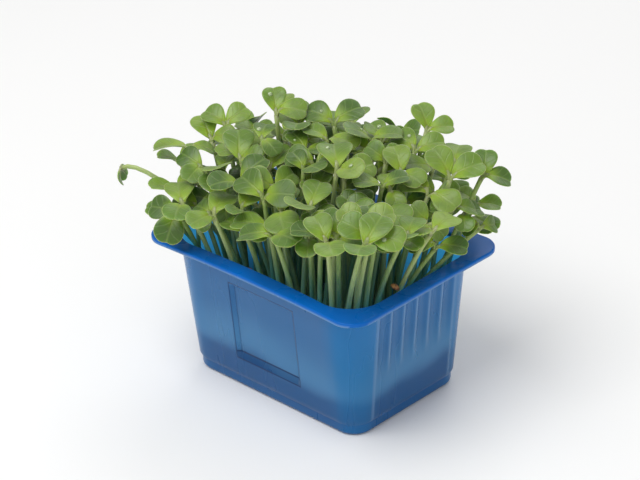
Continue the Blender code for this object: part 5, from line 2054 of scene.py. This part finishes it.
class CRESS_OT_sprouts(Operator):
    """Grow the fine sprouts, one piece for each clump, and extra ones between them"""

    bl_idname = "cress.sprouts"
    bl_label = "Sprouts"

    def execute(self, context):
        colours = colours_of(context)
        draw = random.Random(SEED)
        centres = tuft_centres(draw)
        tray = tray_entry()
        stand = grow_stand(draw, centres, tray)
        extra = grow_fill(stand, tray)
        materials = {"leaf": leaf_material(colours), "stem": stem_material(colours)}
        masters = make_masters()
        finish = random.Random(SEED + 1)
        for tuft, centre in enumerate(centres):
            parts = [plug_part(masters["plug"], centre, materials["stem"], finish)]
            for item in stand:
                if item["tuft"] == tuft:
                    parts += sprout_parts(item["sprout"], masters, materials, finish)
            node = "cress_clump_%02d" % (tuft + 1)
            ready(join_parts("fine_" + node, parts), "cress_green", node)
        groups = [[] for number in range(FILL_GROUPS)]
        for number, sprout in enumerate(extra):
            groups[number % FILL_GROUPS] += sprout_parts(sprout, masters, materials, finish)
        for number, parts in enumerate(groups):
            if parts:
                ready(join_parts("small_sprouts_%02d" % (number + 1), parts), "cress_green")
        clear_masters()
        return {"FINISHED"}


class CRESS_OT_hulls(Operator):
    """Shape the fallen seed hulls"""

    bl_idname = "cress.hulls"
    bl_label = "Seed hulls"

    def execute(self, context):
        material = hull_material(colours_of(context))
        for number, (x, y, turn) in enumerate(HULLS):
            centre = Vector((x * MM, y * MM, MAT_TOP_Z + CLEARANCE + HULL_FLAT * HULL_HALF_HEIGHT))
            node = "seed_hull_%02d" % (number + 1)
            hull = build_hull("split_" + node, centre, turn, 0.0, material)
            ready(hull, "seed_hull", node)
        for number, (x, y, z, turn, tilt) in enumerate(CAUGHT_HULLS):
            name = "caught_hull_%02d" % (number + 1)
            hull = build_hull(name, Vector((x, y, z)) * MM, turn, tilt, material)
            ready(hull, "seed_hull")
        return {"FINISHED"}


class CRESS_OT_drops(Operator):
    """Set water droplets on some of the leaves"""

    bl_idname = "cress.drops"
    bl_label = "Water droplets"

    def execute(self, context):
        material = water_material(colours_of(context))
        draw = random.Random(DROP_SEED)
        upper = sorted(STATE["blades"], key=lambda item: -item[0])[:DROP_LEAVES * DROP_CHOICE]
        for number, (height, blade) in enumerate(draw.sample(upper, DROP_LEAVES)):
            axes, length = blade[2:4]
            forward = draw.uniform(*DROP_FORWARD) * length
            side = draw.choice((-1.0, 1.0)) * draw.uniform(*DROP_SIDE) * length
            centre = fine_leaf_point(blade, forward, side, FINE_BLADE_HALF)
            name = "water_drop_%02d" % (number + 1)
            ready(build_drop(name, centre, axes[2], draw.uniform(*DROP_RADIUS), material), "cress_green")
        return {"FINISHED"}


class CRESS_OT_stage(Operator):
    """Set the floor, the lights and the camera"""

    bl_idname = "cress.stage"
    bl_label = "Stage"

    def execute(self, context):
        colours = colours_of(context)
        stage = context.scene.cress_stage
        add_floor(floor_material(colours))
        add_world(colours, stage)
        add_lights(stage)
        add_camera(stage)
        context.scene.view_settings.view_transform = "Standard"
        return {"FINISHED"}


STEPS = (CRESS_OT_tray, CRESS_OT_mat, CRESS_OT_sprouts, CRESS_OT_hulls, CRESS_OT_drops, CRESS_OT_stage)


class CRESS_PT_panel(Panel):
    """Lists the steps and the colours that can be changed."""

    bl_idname = "CRESS_PT_panel"
    bl_label = "Daikon Cress Tray"
    bl_space_type = "VIEW_3D"
    bl_region_type = "UI"
    bl_category = "Cress"

    def draw(self, context):
        column = self.layout.column()
        for step in STEPS:
            column.operator(step.bl_idname)
        for group in (context.scene.cress_colours, context.scene.cress_stage):
            for name in group.__annotations__:
                column.prop(group, name)


CLASSES = (CressColours, CressStage, *STEPS, CRESS_PT_panel)


def register():
    """Makes the settings, the steps and the panel known to Blender."""
    for one in CLASSES:
        bpy.utils.register_class(one)
    bpy.types.Scene.cress_colours = PointerProperty(type=CressColours)
    bpy.types.Scene.cress_stage = PointerProperty(type=CressStage)


def unregister():
    """Takes them away again."""
    del bpy.types.Scene.cress_stage
    del bpy.types.Scene.cress_colours
    for one in reversed(CLASSES):
        bpy.utils.unregister_class(one)


def main():
    """Runs every step in order."""
    register()
    bpy.ops.cress.tray()
    bpy.ops.cress.mat()
    bpy.ops.cress.sprouts()
    bpy.ops.cress.hulls()
    bpy.ops.cress.drops()
    bpy.ops.cress.stage()


if __name__ == "__main__":
    main()
